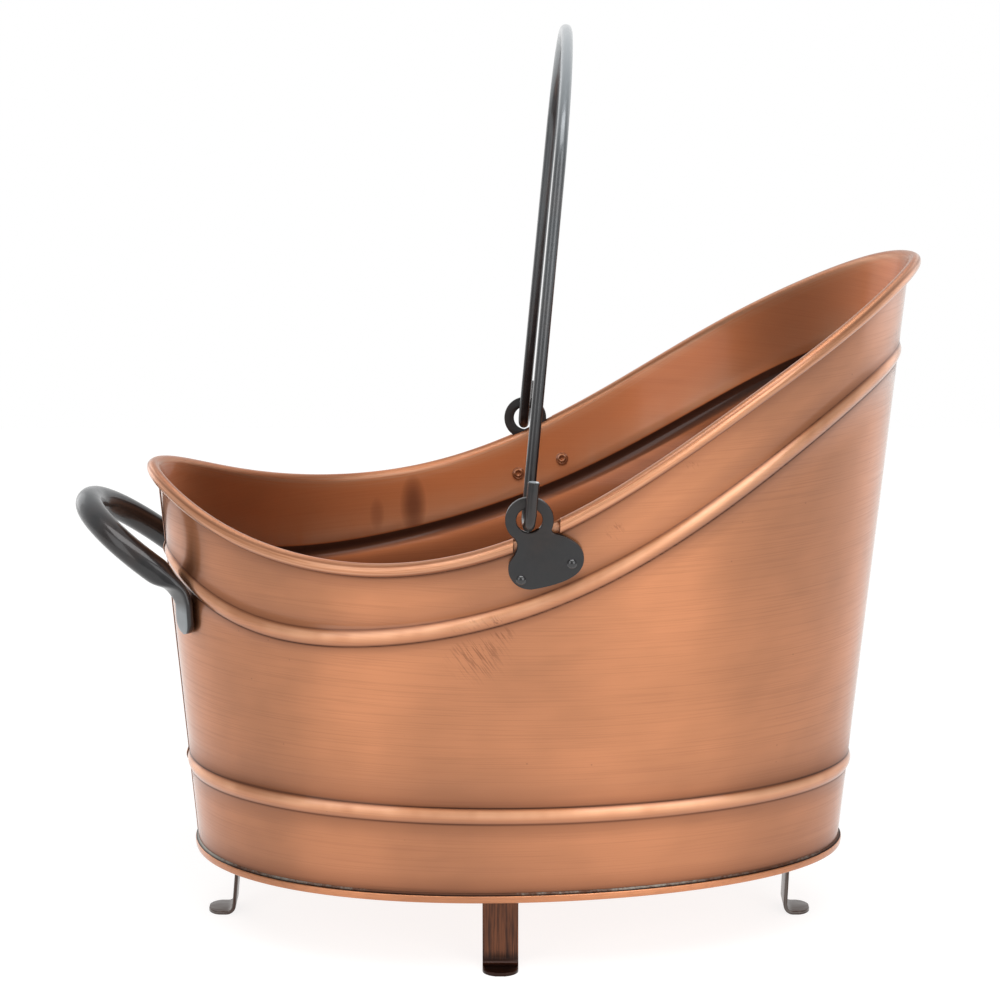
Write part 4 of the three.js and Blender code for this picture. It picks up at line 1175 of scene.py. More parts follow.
def handle_mesh(body, handle):
    """Bar from one palm up and round to the other, its section changing from flat to round."""
    wall = wall_frame(body, handle.palm_angle, handle.palm_top)
    half, half_runs = handle_line(handle, wall)
    points = half + [Vector((p.x, -p.y, p.z)) for p in reversed(half[:-1])]
    runs = half_runs + half_runs[-2::-1]
    outward = wall.to_3x3() @ Vector((0, 0, 1))
    loop_up = Vector((-math.sin(handle.rise), 0, -math.cos(handle.rise)))
    ways = []
    for i, run in enumerate(runs):
        side = 1 if i < len(half) else -1
        palm = Vector((outward.x, side * outward.y, outward.z))
        ways.append(palm.lerp(loop_up, grown(handle, run)))
    sections = [handle_section(handle, run) for run in runs]
    mesh = skin("rear_handle", sweep(points, ways, sections))
    # The palms' faces are greyed, as wear and painted sheen, and the loop's far end a third as much.
    palm_end, fade = handle.palm_length + 3 * MM, 6 * MM
    worn = []
    for run, section in zip(runs, sections):
        face = 0.9 * max(y for _, y in section)
        palm = min(max((palm_end - run) / fade, 0), 1)
        loop_end = 0.35 * max(1 - (half_runs[-1] - run) / handle.worn_and_sheen_loop, 0)
        worn += [max(palm * (abs(y) > face), loop_end) * handle.wear for _, y in section]
    keep_numbers(mesh, "cut", worn)
    return mesh


def rounded_line(corners, radius, count=10):
    """Points along a line of corners, each rounded to this radius."""
    points = [corners[0]]
    for before, here, after in zip(corners, corners[1:], corners[2:]):
        into, away = (here - before).normalized(), (after - here).normalized()
        bend = into.angle_signed(away)
        start = here - into * radius * math.tan(abs(bend) / 2)
        sense = -1 if bend > 0 else 1
        centre = start + Vector((-into.y, into.x)) * sense * radius
        for i in range(count + 1):
            arm = start - centre
            arm.rotate(Matrix.Rotation(sense * abs(bend) * i / count, 2))
            points.append(centre + arm)
    return points + [corners[-1]]


def strip_section(foot, half):
    """Section of the strip where it is half this wide, with rounded edges."""
    edge = min(foot.edge, 0.45 * half)
    ring = []
    for a, b, start in ((1, 1, 0), (-1, 1, 90), (-1, -1, 180), (1, -1, 270)):
        middle = (a * (foot.strip / 2 - edge), b * (half - edge))
        ring += arc(middle, edge, math.radians(start), math.radians(start + 90), 3)
    return ring


def foot_mesh(foot, at, turned, splay):
    """Strip from its tab under the floor, down the leg and out to a rounded pad on the ground."""
    under = -foot.seat - foot.strip / 2
    ground = -foot.height + foot.strip / 2
    spread = math.tan(splay) * (under - ground)
    tip = spread + foot.pad + foot.strip / 2
    corners = [Vector(p) for p in ((-foot.tab, under), (0, under), (spread, ground), (tip, ground))]
    line = [Vector((p.x, 0, p.y)) for p in rounded_line(corners, foot.bend)]
    points, _ = even_points(line, 0.7 * MM)
    points[-1] = line[-1]
    # Over this length the pad's end is rounded down to a third of the strip's width.
    round_end = 0.75 * foot.width / 2
    sections = []
    for point in points:
        level_here = point.z < ground + 0.01 * MM
        short = min(max(1 - (tip - point.x) / round_end, 0), 1) if level_here else 0
        sections.append(strip_section(foot, foot.width / 2 * math.sqrt(1 - 0.9 * short**2)))
    mesh = skin("foot", sweep(points, [Vector((0, 1, 0))] * len(points), sections))
    mesh.transform(Matrix.Translation((*at, 0)) @ Matrix.Rotation(turned, 4, "Z"))
    return mesh


# ---------------------------------------------------------------- rivets


def turned_mesh(name, profile, sides=32):
    """Solid turned from a profile of radius and height pairs that starts and ends on the axis."""
    turns = np.linspace(0, 2 * math.pi, sides, endpoint=False)
    spots = [(r * math.cos(t), r * math.sin(t), h) for r, h in profile for t in turns]
    mesh = bpy.data.meshes.new(name)
    mesh.from_pydata(spots, [], grid_faces(len(profile), sides))
    mend(mesh, TOGETHER)
    return mesh


def headed(radius, height, shank, depth, sense=1):
    """Profile of a low domed head and the shank behind it, as a share of its radius and so deep. The
    head's top is at 0, and it looks up, or down with a sense of -1."""
    shares = np.linspace(0, 1, 12)
    dome = [(radius * t, sense * (height * (1 - t**2.4) - height)) for t in shares]
    return [*dome, (shank * radius, -sense * depth), (0, -sense * depth)]


def open_tail(radius, rise, bore, depth):
    """Profile of a hollow tail that was rolled over into a ring round its bore, with a groove in it."""
    ring = ((0.62, 0.02), (0.72, 0.22), (0.8, 0.24), (0.86, 0.08), (0.95, 0.16), (1, 0.8), (0.5, 1.8))
    return [
        (0, depth),
        (bore, depth),
        (bore, 0.12 * rise),
        (1.15 * bore, 0),
        *((out * radius, up * rise) for out, up in ring),
        (0.5 * radius, 2.4 * rise),
        (0, 2.4 * rise),
    ]


def rivet_axis(node):
    """Ends of a rivet's axis in the frame, the one nearer the bucket's middle first."""
    points = np.array([v.co for v in frame["nodes"][node].data.vertices])
    middle = (points.min(0) + points.max(0)) / 2
    mean = points.mean(0)
    # A rivet spreads alike on two axes, so its own axis is the one whose spread is the odd one out.
    spread, ways = np.linalg.eigh(np.cov((points - mean).T))
    axis = ways[:, 0 if spread[1] - spread[0] > spread[2] - spread[1] else 2]
    if axis[:2] @ middle[:2] < 0:
        axis = -axis
    heights = (points - mean) @ axis
    return Vector(mean + axis * heights.min()), Vector(mean + axis * heights.max())


def rivets(name, nodes, end, profile, material):
    """Rivets made by the rivet tree, with the profile's zero at the inner (0) or outer (1) end of each
    node's axis."""
    axes = [rivet_axis(node) for node in nodes]
    mesh = bpy.data.meshes.new(name)
    mesh.from_pydata([tuple(axis[end]) for axis in axes], [], [])
    ways = [value for inner, outer in axes for value in (outer - inner).normalized()]
    mesh.attributes.new("axis", "FLOAT_VECTOR", "POINT").data.foreach_set("vector", ways)
    one = place(name + "_one", turned_mesh(name, profile))
    made = shaped(name, mesh, rivet_tree(), {"Rivet": one, "Material": material})
    bpy.data.objects.remove(one)
    return made


# ---------------------------------------------------------------- finishes


def new_material(name):
    """Empty node material with its output; returns it and its tree."""
    material = bpy.data.materials.new(name)
    material.use_nodes = True
    material.node_tree.nodes.clear()
    return material, material.node_tree


def layered(tree, colour_under, layers):
    """Colour with layers laid over it in turn, each given as how much of it shows and its colour."""
    for amount, shade in layers:
        inputs = {0: amount, 6: colour_under, 7: shade}
        colour_under = add_node(tree, MIX, inputs, data_type="RGBA").outputs[2]
    return colour_under


# What the finishing left beside each line, and the light and shade painted there, as (millimetres over
# the line, amount): patina outside with a thin painted shade across the roll, patina and painted shade
# inside, crests rubbed bright with painted highlight outside, and lines of painted highlight inside.
PATINA_AND_SHADE_RUNS = {
    "below_rim": (
        *((-26, 0), (-15, 0.12), (-9.4, 0.4), (-7.9, 0.9), (-6.9, 0.8), (-5.0, 0.05)),
        # Painted shade: a thin darker band across the roll's top, 0.5 to 1.9 mm under the rim.
        *((-1.9, 0), (-1.4, 0.55), (-0.9, 0.55), (-0.5, 0), (0, 0)),
    ),
    "over_upper_rib": (
        *((-15, 0), (-9, 0.12), (-5.6, 0.45), (-4.5, 0.98), (-3.4, 0.2), (-1.5, 0)),
        *((1.5, 0), (3.4, 0.14), (4.5, 0.85), (5.4, 0.5), (10, 0.2), (19, 0)),
    ),
    "over_lower_rib": (
        *((-44, 0.85), (-40.5, 0.5), (-33, 0.22), (-15, 0.12), (-5.6, 0.45), (-4.5, 0.92), (-3.4, 0.2)),
        *((-1.5, 0), (1.5, 0), (3.4, 0.2), (4.5, 1.0), (5.6, 0.68), (10, 0.38), (18, 0.16), (34, 0)),
    ),
}
# Inside, patina and painted shade: the wall below the upper rib is darkened as painted shade, and the
# rib's groove most of all.
INNER_PATINA_AND_SHADE_RUNS = {
    "below_rim": ((-60, 0.0), (-30, 0.05), (-4, 0.03), (0, 0)),
    "over_upper_rib": (
        *((-70, 0.78), (-25, 0.84), (-8, 0.66), (-4.8, 0.55), (-3.6, 0.8), (-1.5, 0.95)),
        *((0.5, 1), (4.2, 1), (4.8, 0.5), (5.4, 0.05), (9, 0)),
    ),
    "over_lower_rib": ((-45, 0.8), (-6, 0.6), (-3.4, 0.9), (3, 0.95), (5.2, 0.6), (30, 0.45)),
}
# Crests rubbed bright, and painted highlight: the ribs are lightest over their upper halves, and the
# roll over its top.
RELIEF_AND_HIGHLIGHT_RUNS = {
    "below_rim": ((-6.5, 0), (-5, 0.6), (0, 0.7), (4, 0.7)),
    "over_upper_rib": ((-3.8, 0), (-1.5, 0.35), (0.5, 0.9), (2.4, 1), (3.9, 0)),
    "over_lower_rib": ((-3.8, 0), (-1.5, 0.3), (0.5, 0.85), (2.4, 1), (3.9, 0)),
}
# Painted highlight inside: a line along the roll's inner edge under the rim, and a band just above the
# upper rib's groove.
INNER_HIGHLIGHT_RUNS = {
    "below_rim": ((-9, 0), (-5, 0.4), (-3.6, 1), (-2, 1), (0, 0.6)),
    "over_upper_rib": ((4.8, 0), (5.8, 1), (8, 0.8), (13, 0.35), (24, 0)),
}

# Dark rubs on the wall: where, in degrees from the front and in millimetres up, how large, how dark
# and how the strokes lie.
Rub = namedtuple("Rub", "angle height radius strength strokes")
RUBS = (
    Rub(-97, 140, 21, 0.5, "slanting"),
    Rub(-93.5, 152, 12, 0.55, "slanting"),
    Rub(-64, 240, 10, 0.4, "slanting"),
    Rub(-84, 192, 9, 0.35, "slanting"),
    Rub(-76, 205, 8, 0.4, "slanting"),
    Rub(-98, 163, 13, 0.3, "slanting"),
    Rub(109.0, 164, 15, 0.9, "upright"),
    Rub(116.0, 160, 11, 0.65, "upright"),
    Rub(112.5, 128, 9, 0.6, "upright"),
    Rub(118.5, 127, 10, 0.6, "upright"),
    Rub(132, 172, 18, 0.3, "upright"),
)
# For each kind of stroke: its slope, its length and breadth in millimetres, where it starts and is
# whole on the noise, and how much height counts in a rub's radius: less than 1 makes the rub tall.
Stroke = namedtuple("Stroke", "slope length breadth starts whole height_share")
STROKES = {
    "slanting": Stroke(-54, 12, 0.9, 0.47, 0.64, 1.0),
    "upright": Stroke(86, 32, 5, 0.02, 0.34, 0.45),
}


def beside_lines(tree, runs):
    """The largest amount that these runs give here, from the distances that the pattern keeps."""
    total = 0.0
    for name, stops in runs.items():
        low, high = stops[0][0], stops[-1][0]
        own = add_node(tree, ATTRIBUTE, attribute_name=name).outputs["Fac"]
        spot = add_node(tree, MAP_RANGE, {0: own, 1: low * MM, 2: high * MM, 3: 0.0, 4: 1.0})
        shares = [((at - low) / (high - low), value) for at, value in stops]
        amount = add_node(tree, RAMP, {0: spot}, shares)
        amount.color_ramp.interpolation = "LINEAR"
        total = add_node(tree, MATH, {0: total, 1: amount}, operation="MAXIMUM")
    return total


def patina_and_shade_amount(tree, streaks):
    """How much patina and painted shade lie here, outside and inside, a little broken by the brushing.
    """
    inner = add_node(tree, ATTRIBUTE, attribute_name="inner").outputs["Fac"]
    worn = add_node(tree, MAP_RANGE, {0: streaks, 1: 0.3, 2: 0.7, 3: 0.82, 4: 1.08})
    outside = add_node(tree, MATH, {0: beside_lines(tree, PATINA_AND_SHADE_RUNS), 1: worn}, operation="MULTIPLY")
    amount = add_node(tree, MIX, {0: inner, 2: outside, 3: beside_lines(tree, INNER_PATINA_AND_SHADE_RUNS)})
    creased = add_node(tree, ATTRIBUTE, attribute_name="crease").outputs["Fac"]
    return add_node(tree, MATH, {0: amount, 1: creased}, operation="MAXIMUM")


def slanted(tree, coords, slope, long, broad):
    """Coordinates for strokes that rise to the front at this slope in degrees."""
    inputs = {0: coords, 2: (0, math.radians(-slope), 0), 3: (long, broad, broad)}
    return add_node(tree, MAPPING, inputs, vector_type="TEXTURE")


def rub_amount(tree, body, coords):
    """Dark rubs where the sheet was handled, broken into strokes: slanting outside, upright inside."""
    broken = {}
    for strokes, kind in STROKES.items():
        laid = slanted(tree, coords, kind.slope, kind.length * MM, kind.breadth * MM)
        noise = add_node(tree, NOISE, {"Vector": laid, "Scale": 1.0, "Detail": 3.0, "Roughness": 0.55})
        broken[strokes] = add_node(tree, RAMP, {0: noise}, [(kind.starts, 0.0), (kind.whole, 1.0)])
    points = body_points(body, [(math.radians(rub.angle), rub.height * MM, 0) for rub in RUBS])
    totals = dict.fromkeys(STROKES, 0.0)
    for rub, point in zip(RUBS, points):
        offset = add_node(tree, VECTOR_MATH, {0: coords, 1: point}, operation="SUBTRACT")
        shares = (1, 1, STROKES[rub.strokes].height_share)
        offset = add_node(tree, VECTOR_MATH, {0: offset, 1: shares}, operation="MULTIPLY")
        away = add_node(tree, VECTOR_MATH, {0: offset}, operation="LENGTH").outputs["Value"]
        radius = rub.radius * MM
        fade = {0: away, 1: 0.1 * radius, 2: radius, 3: rub.strength, 4: 0.0}
        near = add_node(tree, MAP_RANGE, fade, interpolation_type="SMOOTHSTEP")
        dark = add_node(tree, MATH, {0: near, 1: broken[rub.strokes]}, operation="MULTIPLY")
        both = {0: totals[rub.strokes], 1: dark}
        totals[rub.strokes] = add_node(tree, MATH, both, operation="MAXIMUM")
    inner = add_node(tree, ATTRIBUTE, attribute_name="inner").outputs["Fac"]
    return add_node(tree, MIX, {0: inner, 2: totals["slanting"], 3: totals["upright"]}).outputs[0]


def crest_wear(tree, coords):
    """How much of a crest's rubbed brightness and painted highlight shows here: it is broken in streaks
    0.8 mm broad and 45 mm long, along the rim.
    """
    below_rim = add_node(tree, ATTRIBUTE, attribute_name="below_rim").outputs["Fac"]
    near_rim = add_node(tree, MATH, {0: below_rim, 1: -8 * MM}, operation="MAXIMUM")
    across = add_node(tree, MATH, {0: near_rim, 1: cells(0.769)}, operation="MULTIPLY")
    long = (cells(45.5), cells(45.5), 0)
    flat = add_node(tree, VECTOR_MATH, {0: coords, 1: long}, operation="MULTIPLY")
    spot = add_node(tree, COMBINE, {2: across})
    spot = add_node(tree, VECTOR_MATH, {0: flat, 1: spot}, operation="ADD")
    worn = add_node(tree, NOISE, {"Vector": spot, "Scale": 1.0, "Detail": 3.0, "Roughness": 0.6})
    return add_node(tree, RAMP, {0: worn}, [(0.36, 0.35), (0.6, 1.0)])


def worked_sheet(tree, body, finish, copper, rough, coords, streaks, brushing):
    """What working and wear left on the body sheet, with light and shade painted on it: crests rubbed
    bright with painted highlight, patina beside the rim and the ribs, a lighter painted copper inside
    with painted shade below the upper rib and painted highlight above it, rubs, and uneven lacquer.
    Returns its colour, roughness and lacquer."""
    inner = add_node(tree, ATTRIBUTE, attribute_name="inner").outputs["Fac"]
    # Crests rubbed bright with painted highlight outside, and lines of painted highlight inside.
    outer, inside = (beside_lines(tree, runs) for runs in (RELIEF_AND_HIGHLIGHT_RUNS, INNER_HIGHLIGHT_RUNS))
    crest = add_node(tree, MIX, {0: inner, 2: outer, 3: inside})
    crest = add_node(tree, MATH, {0: crest, 1: crest_wear(tree, coords)}, operation="MULTIPLY")
    # Painted light: most of the inside is laid over with a lighter, more orange copper, a little less
    # where the brushing is bright.
    inside_light_share = add_node(tree, MAP_RANGE, {0: brushing, 1: 0.45, 2: 0.85, 3: 0.95, 4: 0.5})
    inside_painted_light = add_node(tree, MATH, {0: inner, 1: inside_light_share}, operation="MULTIPLY")
    patina = patina_and_shade_amount(tree, streaks)
    rubs = rub_amount(tree, body, coords)
    brown = add_node(tree, MATH, {0: patina, 1: rubs}, operation="MAXIMUM")
    # Where patina and painted shade are strongest the deep colour darkens them further; inside, that is
    # painted shade in the upper rib's groove.
    deep = add_node(tree, RAMP, {0: patina}, [(0.55, 0.0), (1.0, 0.8)])
    dark = layered(tree, finish.patina, [(deep, finish.patina_deep)])
    layers = [(inside_painted_light, finish.copper_inside_painted_light), (crest, finish.copper_relief_and_highlight), (brown, dark)]
    rough = add_node(tree, MATH, {0: brown, 1: 0.12, 2: rough}, operation="MULTIPLY_ADD")
    # The lacquer wets the patina less, so the creases outside stay dull; inside it is thin over the
    # patina and painted shade, and pooled in the grooves.
    outer = add_node(tree, MAP_RANGE, {0: brown, 1: 0.2, 2: 1.0, 3: 0.9, 4: 0.15})
    pooled = add_node(tree, RAMP, {0: brown}, [(0.1, 0.95), (0.45, 0.35), (0.85, 0.35), (1.0, 0.5)])
    lacquer = add_node(tree, MIX, {0: inner, 2: outer, 3: pooled})
    return layered(tree, copper, layers), rough, lacquer


def copper_plate(name, body, finish, strokes, worked=False, brushed=True, dulled=0.0):
    """Antique copper: steel sheet plated with copper, darkened, brushed back and lacquered. The eye
    gets a soft satin metal with fine brush lines, brown patina left in the creases, and the lacquer's
    own paler shine at a glancing angle. The strokes are the size of the brush's marks on each axis, in
    millimetres."""
    material, tree = new_material(name)
    coords = add_node(tree, COORDINATES).outputs["Object"]
    # Brush lines are 0.3 mm apart on the real sheet; they are drawn twice as coarse, so that they show.
    lines = add_node(tree, MAPPING, {0: coords, 3: [cells(size) for size in strokes]})
    streaks = add_node(tree, NOISE, {"Vector": lines, "Scale": 1.0, "Detail": 3.0, "Roughness": 0.5})
    fine = add_node(tree, NOISE, {"Vector": lines, "Scale": 1.9, "Detail": 1.0})
    # The brushing went over the sheet in long slanting sweeps, and deeper in clouds a hand across.
    slant = slanted(tree, coords, 15, 250 * MM, 17 * MM)
    sweeps = add_node(tree, NOISE, {"Vector": slant, "Scale": 1.0, "Detail": 2.0, "Roughness": 0.5})
    hand = {"Vector": coords, "Scale": cells(90.9), "Detail": 3.0, "Roughness": 0.55}
    clouds = add_node(tree, NOISE, hand)
    brushing = add_node(tree, MATH, {0: sweeps, 1: 0.3, 2: clouds}, operation="MULTIPLY_ADD")
    bright = add_node(tree, RAMP, {0: brushing}, [(0.42, 0.0), (0.88, 1.0)])
    drawn = add_node(tree, RAMP, {0: streaks}, [(0.32, 0.1), (0.52, 0.0)])
    # Small specks about 14 mm apart, where the plate pitted.
    apart = {"Vector": coords, "Scale": cells(14.286), "Randomness": 1.0}
    pits = add_node(tree, "ShaderNodeTexVoronoi", apart)
    speck = add_node(tree, RAMP, {0: pits}, [(0.0, 0.45), (0.045, 0.0)])
    layers = [
        (bright, finish.copper_light),
        (drawn, finish.patina),
        (speck, finish.patina_deep),
        (dulled, finish.patina),
    ]
    base = layered(tree, finish.copper, layers)
    rough = add_node(tree, MAP_RANGE, {0: streaks, 1: 0.25, 2: 0.75, 3: 0.52, 4: 0.4})
    lacquer = 0.9
    if worked:
        given = (base, rough, coords, streaks, brushing)
        base, rough, lacquer = worked_sheet(tree, body, finish, *given)
    height = add_node(tree, MATH, {0: fine, 1: 0.5, 2: streaks}, operation="MULTIPLY_ADD")
    inputs = {
        "Base Color": base,
        "Metallic": 1.0,
        "Roughness": rough,
        "Coat Weight": lacquer,
        "Coat Roughness": 0.13,
        "Normal": add_node(tree, BUMP, {"Strength": 0.12, "Distance": 0.05 * MM, "Height": height}),
    }
    if brushed:
        around = add_node(tree, "ShaderNodeTangent", direction_type="UV_MAP", uv_map="grain")
        inputs |= {"Anisotropic": 0.8, "Anisotropic Rotation": 0.25, "Tangent": around}
    add_node(tree, OUTPUT, {0: add_node(tree, METAL, inputs)})
    return material


def blackened_iron(name, finish, gloss=0.0):
    """Blackened iron, oiled or waxed: a dark satin skin, slightly uneven from the forge scale, with a
    brown cast where the oil has dried, bare metal on the cut ends, painted highlight high on the bail
    and painted sheen with wear on the handle's palms."""
    material, tree = new_material(name)
    coords = add_node(tree, COORDINATES).outputs["Object"]
    forged = {"Vector": coords, "Scale": cells(6.667), "Detail": 4.0, "Roughness": 0.6}
    scale = add_node(tree, NOISE, forged)
    stains = add_node(tree, NOISE, {"Vector": coords, "Scale": cells(35.71), "Detail": 2.0})
    brown = add_node(tree, RAMP, {0: stains}, [(0.45, 0.0), (0.68, 0.55)])
    darker = add_node(tree, RAMP, {0: scale}, [(0.35, 0.35), (0.6, 0.0)])
    # Painted highlight: the bail turns paler high up, to half grey metal at the top of its arch.
    height = add_node(tree, SEPARATE, {0: coords}).outputs["Z"]
    half_highlight = add_node(tree, MAP_RANGE, {0: height, 1: 280 * MM, 2: 380 * MM, 3: 0.0, 4: 0.1})
    top = {0: height, 1: 430 * MM, 2: 488 * MM, 3: half_highlight, 4: 0.5}
    layers = [
        (brown, finish.iron_brown),
        (darker, finish.iron_scale),
        (add_node(tree, MAP_RANGE, top), finish.iron_bare_and_highlight),
        # The cut attribute greys bare cut ends on the bail, and wear with painted sheen on the rear
        # handle.
        (add_node(tree, ATTRIBUTE, attribute_name="cut").outputs["Fac"], finish.iron_bare_and_highlight),
    ]
    uneven = {0: scale, 1: 0.3, 2: 0.7, 3: 0.4 - gloss, 4: 0.55 - gloss}
    inputs = {
        "Base Color": layered(tree, finish.iron, layers),
        "Metallic": 0.6,
        "Roughness": add_node(tree, MAP_RANGE, uneven),
        "Coat Weight": 0.5 + 1.6 * gloss,
        "Coat Roughness": 0.12 - 0.3 * gloss,
        "Normal": add_node(tree, BUMP, {"Strength": 0.07, "Distance": 0.1 * MM, "Height": scale}),
    }
    add_node(tree, OUTPUT, {0: add_node(tree, METAL, inputs)})
    return material


def dark_strip(name, finish, light, low_darkening):
    """Copper-plated strip that was left dark: brown on the side feet and painted grey as reflection on
    the front and rear feet, with brush lines along the strip, and darker still towards the ground at its
    lower bend."""
    material, tree = new_material(name)
    grain = add_node(tree, "ShaderNodeUVMap", uv_map="grain")
    # Brush lines 1.1 mm apart, which is coarser than the real ones so that they show.
    lines = add_node(tree, MAPPING, {0: grain, 3: (cells(1.111), cells(33.33), 1)})
    streaks = add_node(tree, NOISE, {"Vector": lines, "Scale": 1.0, "Detail": 3.0, "Roughness": 0.65})
    shade = add_node(tree, RAMP, {0: streaks}, [(0.32, 0.0), (0.68, 1.0)])
    coords = add_node(tree, COORDINATES).outputs["Object"]
    height = add_node(tree, SEPARATE, {0: coords}).outputs["Z"]
    # Darker towards the ground, below about 15 mm up, unevenly along the streaks.
    uneven = add_node(tree, MATH, {0: streaks, 1: 10 * MM, 2: height}, operation="MULTIPLY_ADD")
    low = add_node(tree, MAP_RANGE, {0: uneven, 1: 10 * MM, 2: 15 * MM, 3: low_darkening, 4: 0.0})
    inputs = {
        "Base Color": layered(tree, finish.strip_dark, [(shade, light), (low, finish.strip_low_dark)]),
        "Metallic": 1.0,
        "Roughness": 0.36,
        "Coat Weight": 0.3,
        "Coat Roughness": 0.2,
        "Normal": add_node(tree, BUMP, {"Strength": 0.15, "Distance": 0.05 * MM, "Height": streaks}),
    }
    add_node(tree, OUTPUT, {0: add_node(tree, METAL, inputs)})
    return material


def soft_solder(name, body, finish):
    """Soft solder smeared along the hem: a dull grey run at the back and here and there along the
    sides, speckled and mostly hidden under brown flux."""
    material, tree = new_material(name)
    coords = add_node(tree, COORDINATES).outputs["Object"]
    specks = {"Vector": coords, "Scale": cells(2.381), "Detail": 3.0, "Roughness": 0.7}
    flux = add_node(tree, NOISE, specks)
    runs = add_node(tree, NOISE, {"Vector": coords, "Scale": cells(71.43), "Detail": 1.0})
    along = add_node(tree, SEPARATE, {0: coords}).outputs["X"]
    rear = add_node(tree, MAP_RANGE, {0: along, 1: -100 * MM, 2: -170 * MM, 3: 0.0, 4: 0.35})
    thick = add_node(tree, MATH, {0: runs, 1: rear}, operation="ADD")
    mixed = add_node(tree, MATH, {0: flux, 1: 0.35, 2: thick}, operation="MULTIPLY_ADD")
    silver = add_node(tree, RAMP, {0: mixed}, [(0.72, 0.0), (0.92, 0.75)])
    up = add_node(tree, ATTRIBUTE, attribute_name="up").outputs["Fac"]
    low, high = body.hem_height + 0.2 * MM, body.hem_height + 0.8 * MM
    crevice = add_node(tree, MAP_RANGE, {0: up, 1: low, 2: high, 3: 0.9, 4: 0.0})
    layers = [(silver, finish.solder), (crevice, finish.crevice)]
    inputs = {
        "Base Color": layered(tree, finish.solder_dark, layers),
        "Metallic": 0.9,
        "Roughness": add_node(tree, MAP_RANGE, {0: silver, 1: 0.0, 2: 0.75, 3: 0.6, 4: 0.4}),
        "Normal": add_node(tree, BUMP, {"Strength": 0.5, "Distance": 0.2 * MM, "Height": flux}),
    }
    add_node(tree, OUTPUT, {0: add_node(tree, METAL, inputs)})
    return material


def drawn_wire(name, finish):
    """Bare steel wire, drawn: grey, with faint spots."""
    material, tree = new_material(name)
    coords = add_node(tree, COORDINATES).outputs["Object"]
    spots = add_node(tree, NOISE, {"Vector": coords, "Scale": cells(2.5), "Detail": 2.0})
    base = layered(tree, finish.wire, [(spots, finish.iron)])
    inputs = {"Base Color": base, "Metallic": 1.0, "Roughness": 0.4}
    add_node(tree, OUTPUT, {0: add_node(tree, METAL, inputs)})
    return material


# ---------------------------------------------------------------- operators


class HEARTH_OT_body(bpy.types.Operator):
    """Wall with its ribs, rolled rim and gaps, and the seam down its back"""

    bl_idname = "hearth_bucket.body"
    bl_label = "Body"

    def execute(self, context):
        """Builds the wall and the seam and dresses the rim's wires"""
        body, finish = context.scene.bucket_body, context.scene.bucket_finish
        plate = copper_plate("antique_copper_plate", body, finish, (62.5, 62.5, 0.6667), worked=True)
        uneven = (body.sheet_lumps, 12, 3)
        wall = lay("body_sheet", wall_mesh(body, context.scene.bucket_ear), body, plate, *uneven)
        ride(wall, "bucket", "copper_sheet", "body_wall")
        seam = lay("back_seam", seam_mesh(body), body, plate, *uneven)
        ride(seam, "bucket", "copper_sheet")
        wire = drawn_wire("drawn_steel_wire", finish)
        for name in ("rim_wire_front", "rim_wire_rear"):
            frame["nodes"][name].data.materials.clear()
            frame["nodes"][name].data.materials.append(wire)
        return {"FINISHED"}


class HEARTH_OT_floor(bpy.types.Operator):
    """Floor with its hem, and the solder along it"""

    bl_idname = "hearth_bucket.floor"
    bl_label = "Floor"

    def execute(self, context):
        """Builds the floor and the solder"""
        body, finish = context.scene.bucket_body, context.scene.bucket_finish
        plate = copper_plate("antique_copper_floor", body, finish, (25, 1.4286, 1.4286))
        pan = lay("floor_sheet", floor_mesh(body), body, plate, body.floor_lumps, 25, 5)
        ride(pan, "bucket", "copper_sheet", "floor_pan")
        solder = soft_solder("soft_solder", body, finish)
        run = lay("solder_run", solder_mesh(body), body, solder, body.solder_lumps, 120, 7)
        ride(run, "bucket", "solder", "floor_solder")
        return {"FINISHED"}


class HEARTH_OT_ears(bpy.types.Operator):
    """Ear plates on both sides"""

    bl_idname = "hearth_bucket.ears"
    bl_label = "Ears"

    def execute(self, context):
        """Builds both plates"""
        scene = context.scene
        iron = blackened_iron("blackened_iron_plate", scene.bucket_finish)
        for name, side in SIDES.items():
            mesh = finish_mesh(ear_mesh(scene.bucket_body, scene.bucket_ear, side), iron)
            ride(place(f"ear_plate_{name}", mesh), "bucket", "black_iron", f"ear_{name}")
        return {"FINISHED"}


class HEARTH_OT_bail(bpy.types.Operator):
    """Swinging bail"""

    bl_idname = "hearth_bucket.bail"
    bl_label = "Bail"

    def execute(self, context):
        """Sweeps the rod, with bevelled ends"""
        bail = context.scene.bucket_bail
        points = bail_points(bail)
        start, end = points[0], points[-1]
        inset = [start.lerp(points[1], 0.1), end.lerp(points[-2], 0.1)]
        points = [start, inset[0], *points[1:-1], inset[1], end]
        narrow = 1 - 2 * bail.chamfer / bail.rod
        girths = [narrow, *[1.0] * (len(points) - 2), narrow]
        iron = blackened_iron("blackened_iron_rod", context.scene.bucket_finish, 0.1)
        values = {"Diameter": bail.rod, "Sides": 32, "Material": iron}
        rod = shaped("bail_rod", line_mesh("bail_rod", points, girths), rod_tree(), values)
        mend(rod.data)
        # Faces this near to the line's ends are the cut ends, which are bare.
        centres = [face.center for face in rod.data.polygons]
        near = 0.45 * bail.rod
        cut = [min((centre - start).length, (centre - end).length) < near for centre in centres]
        keep_numbers(rod.data, "cut", cut, "FACE")
        ride(rod, "bail", "black_iron", "bail_handle")
        return {"FINISHED"}


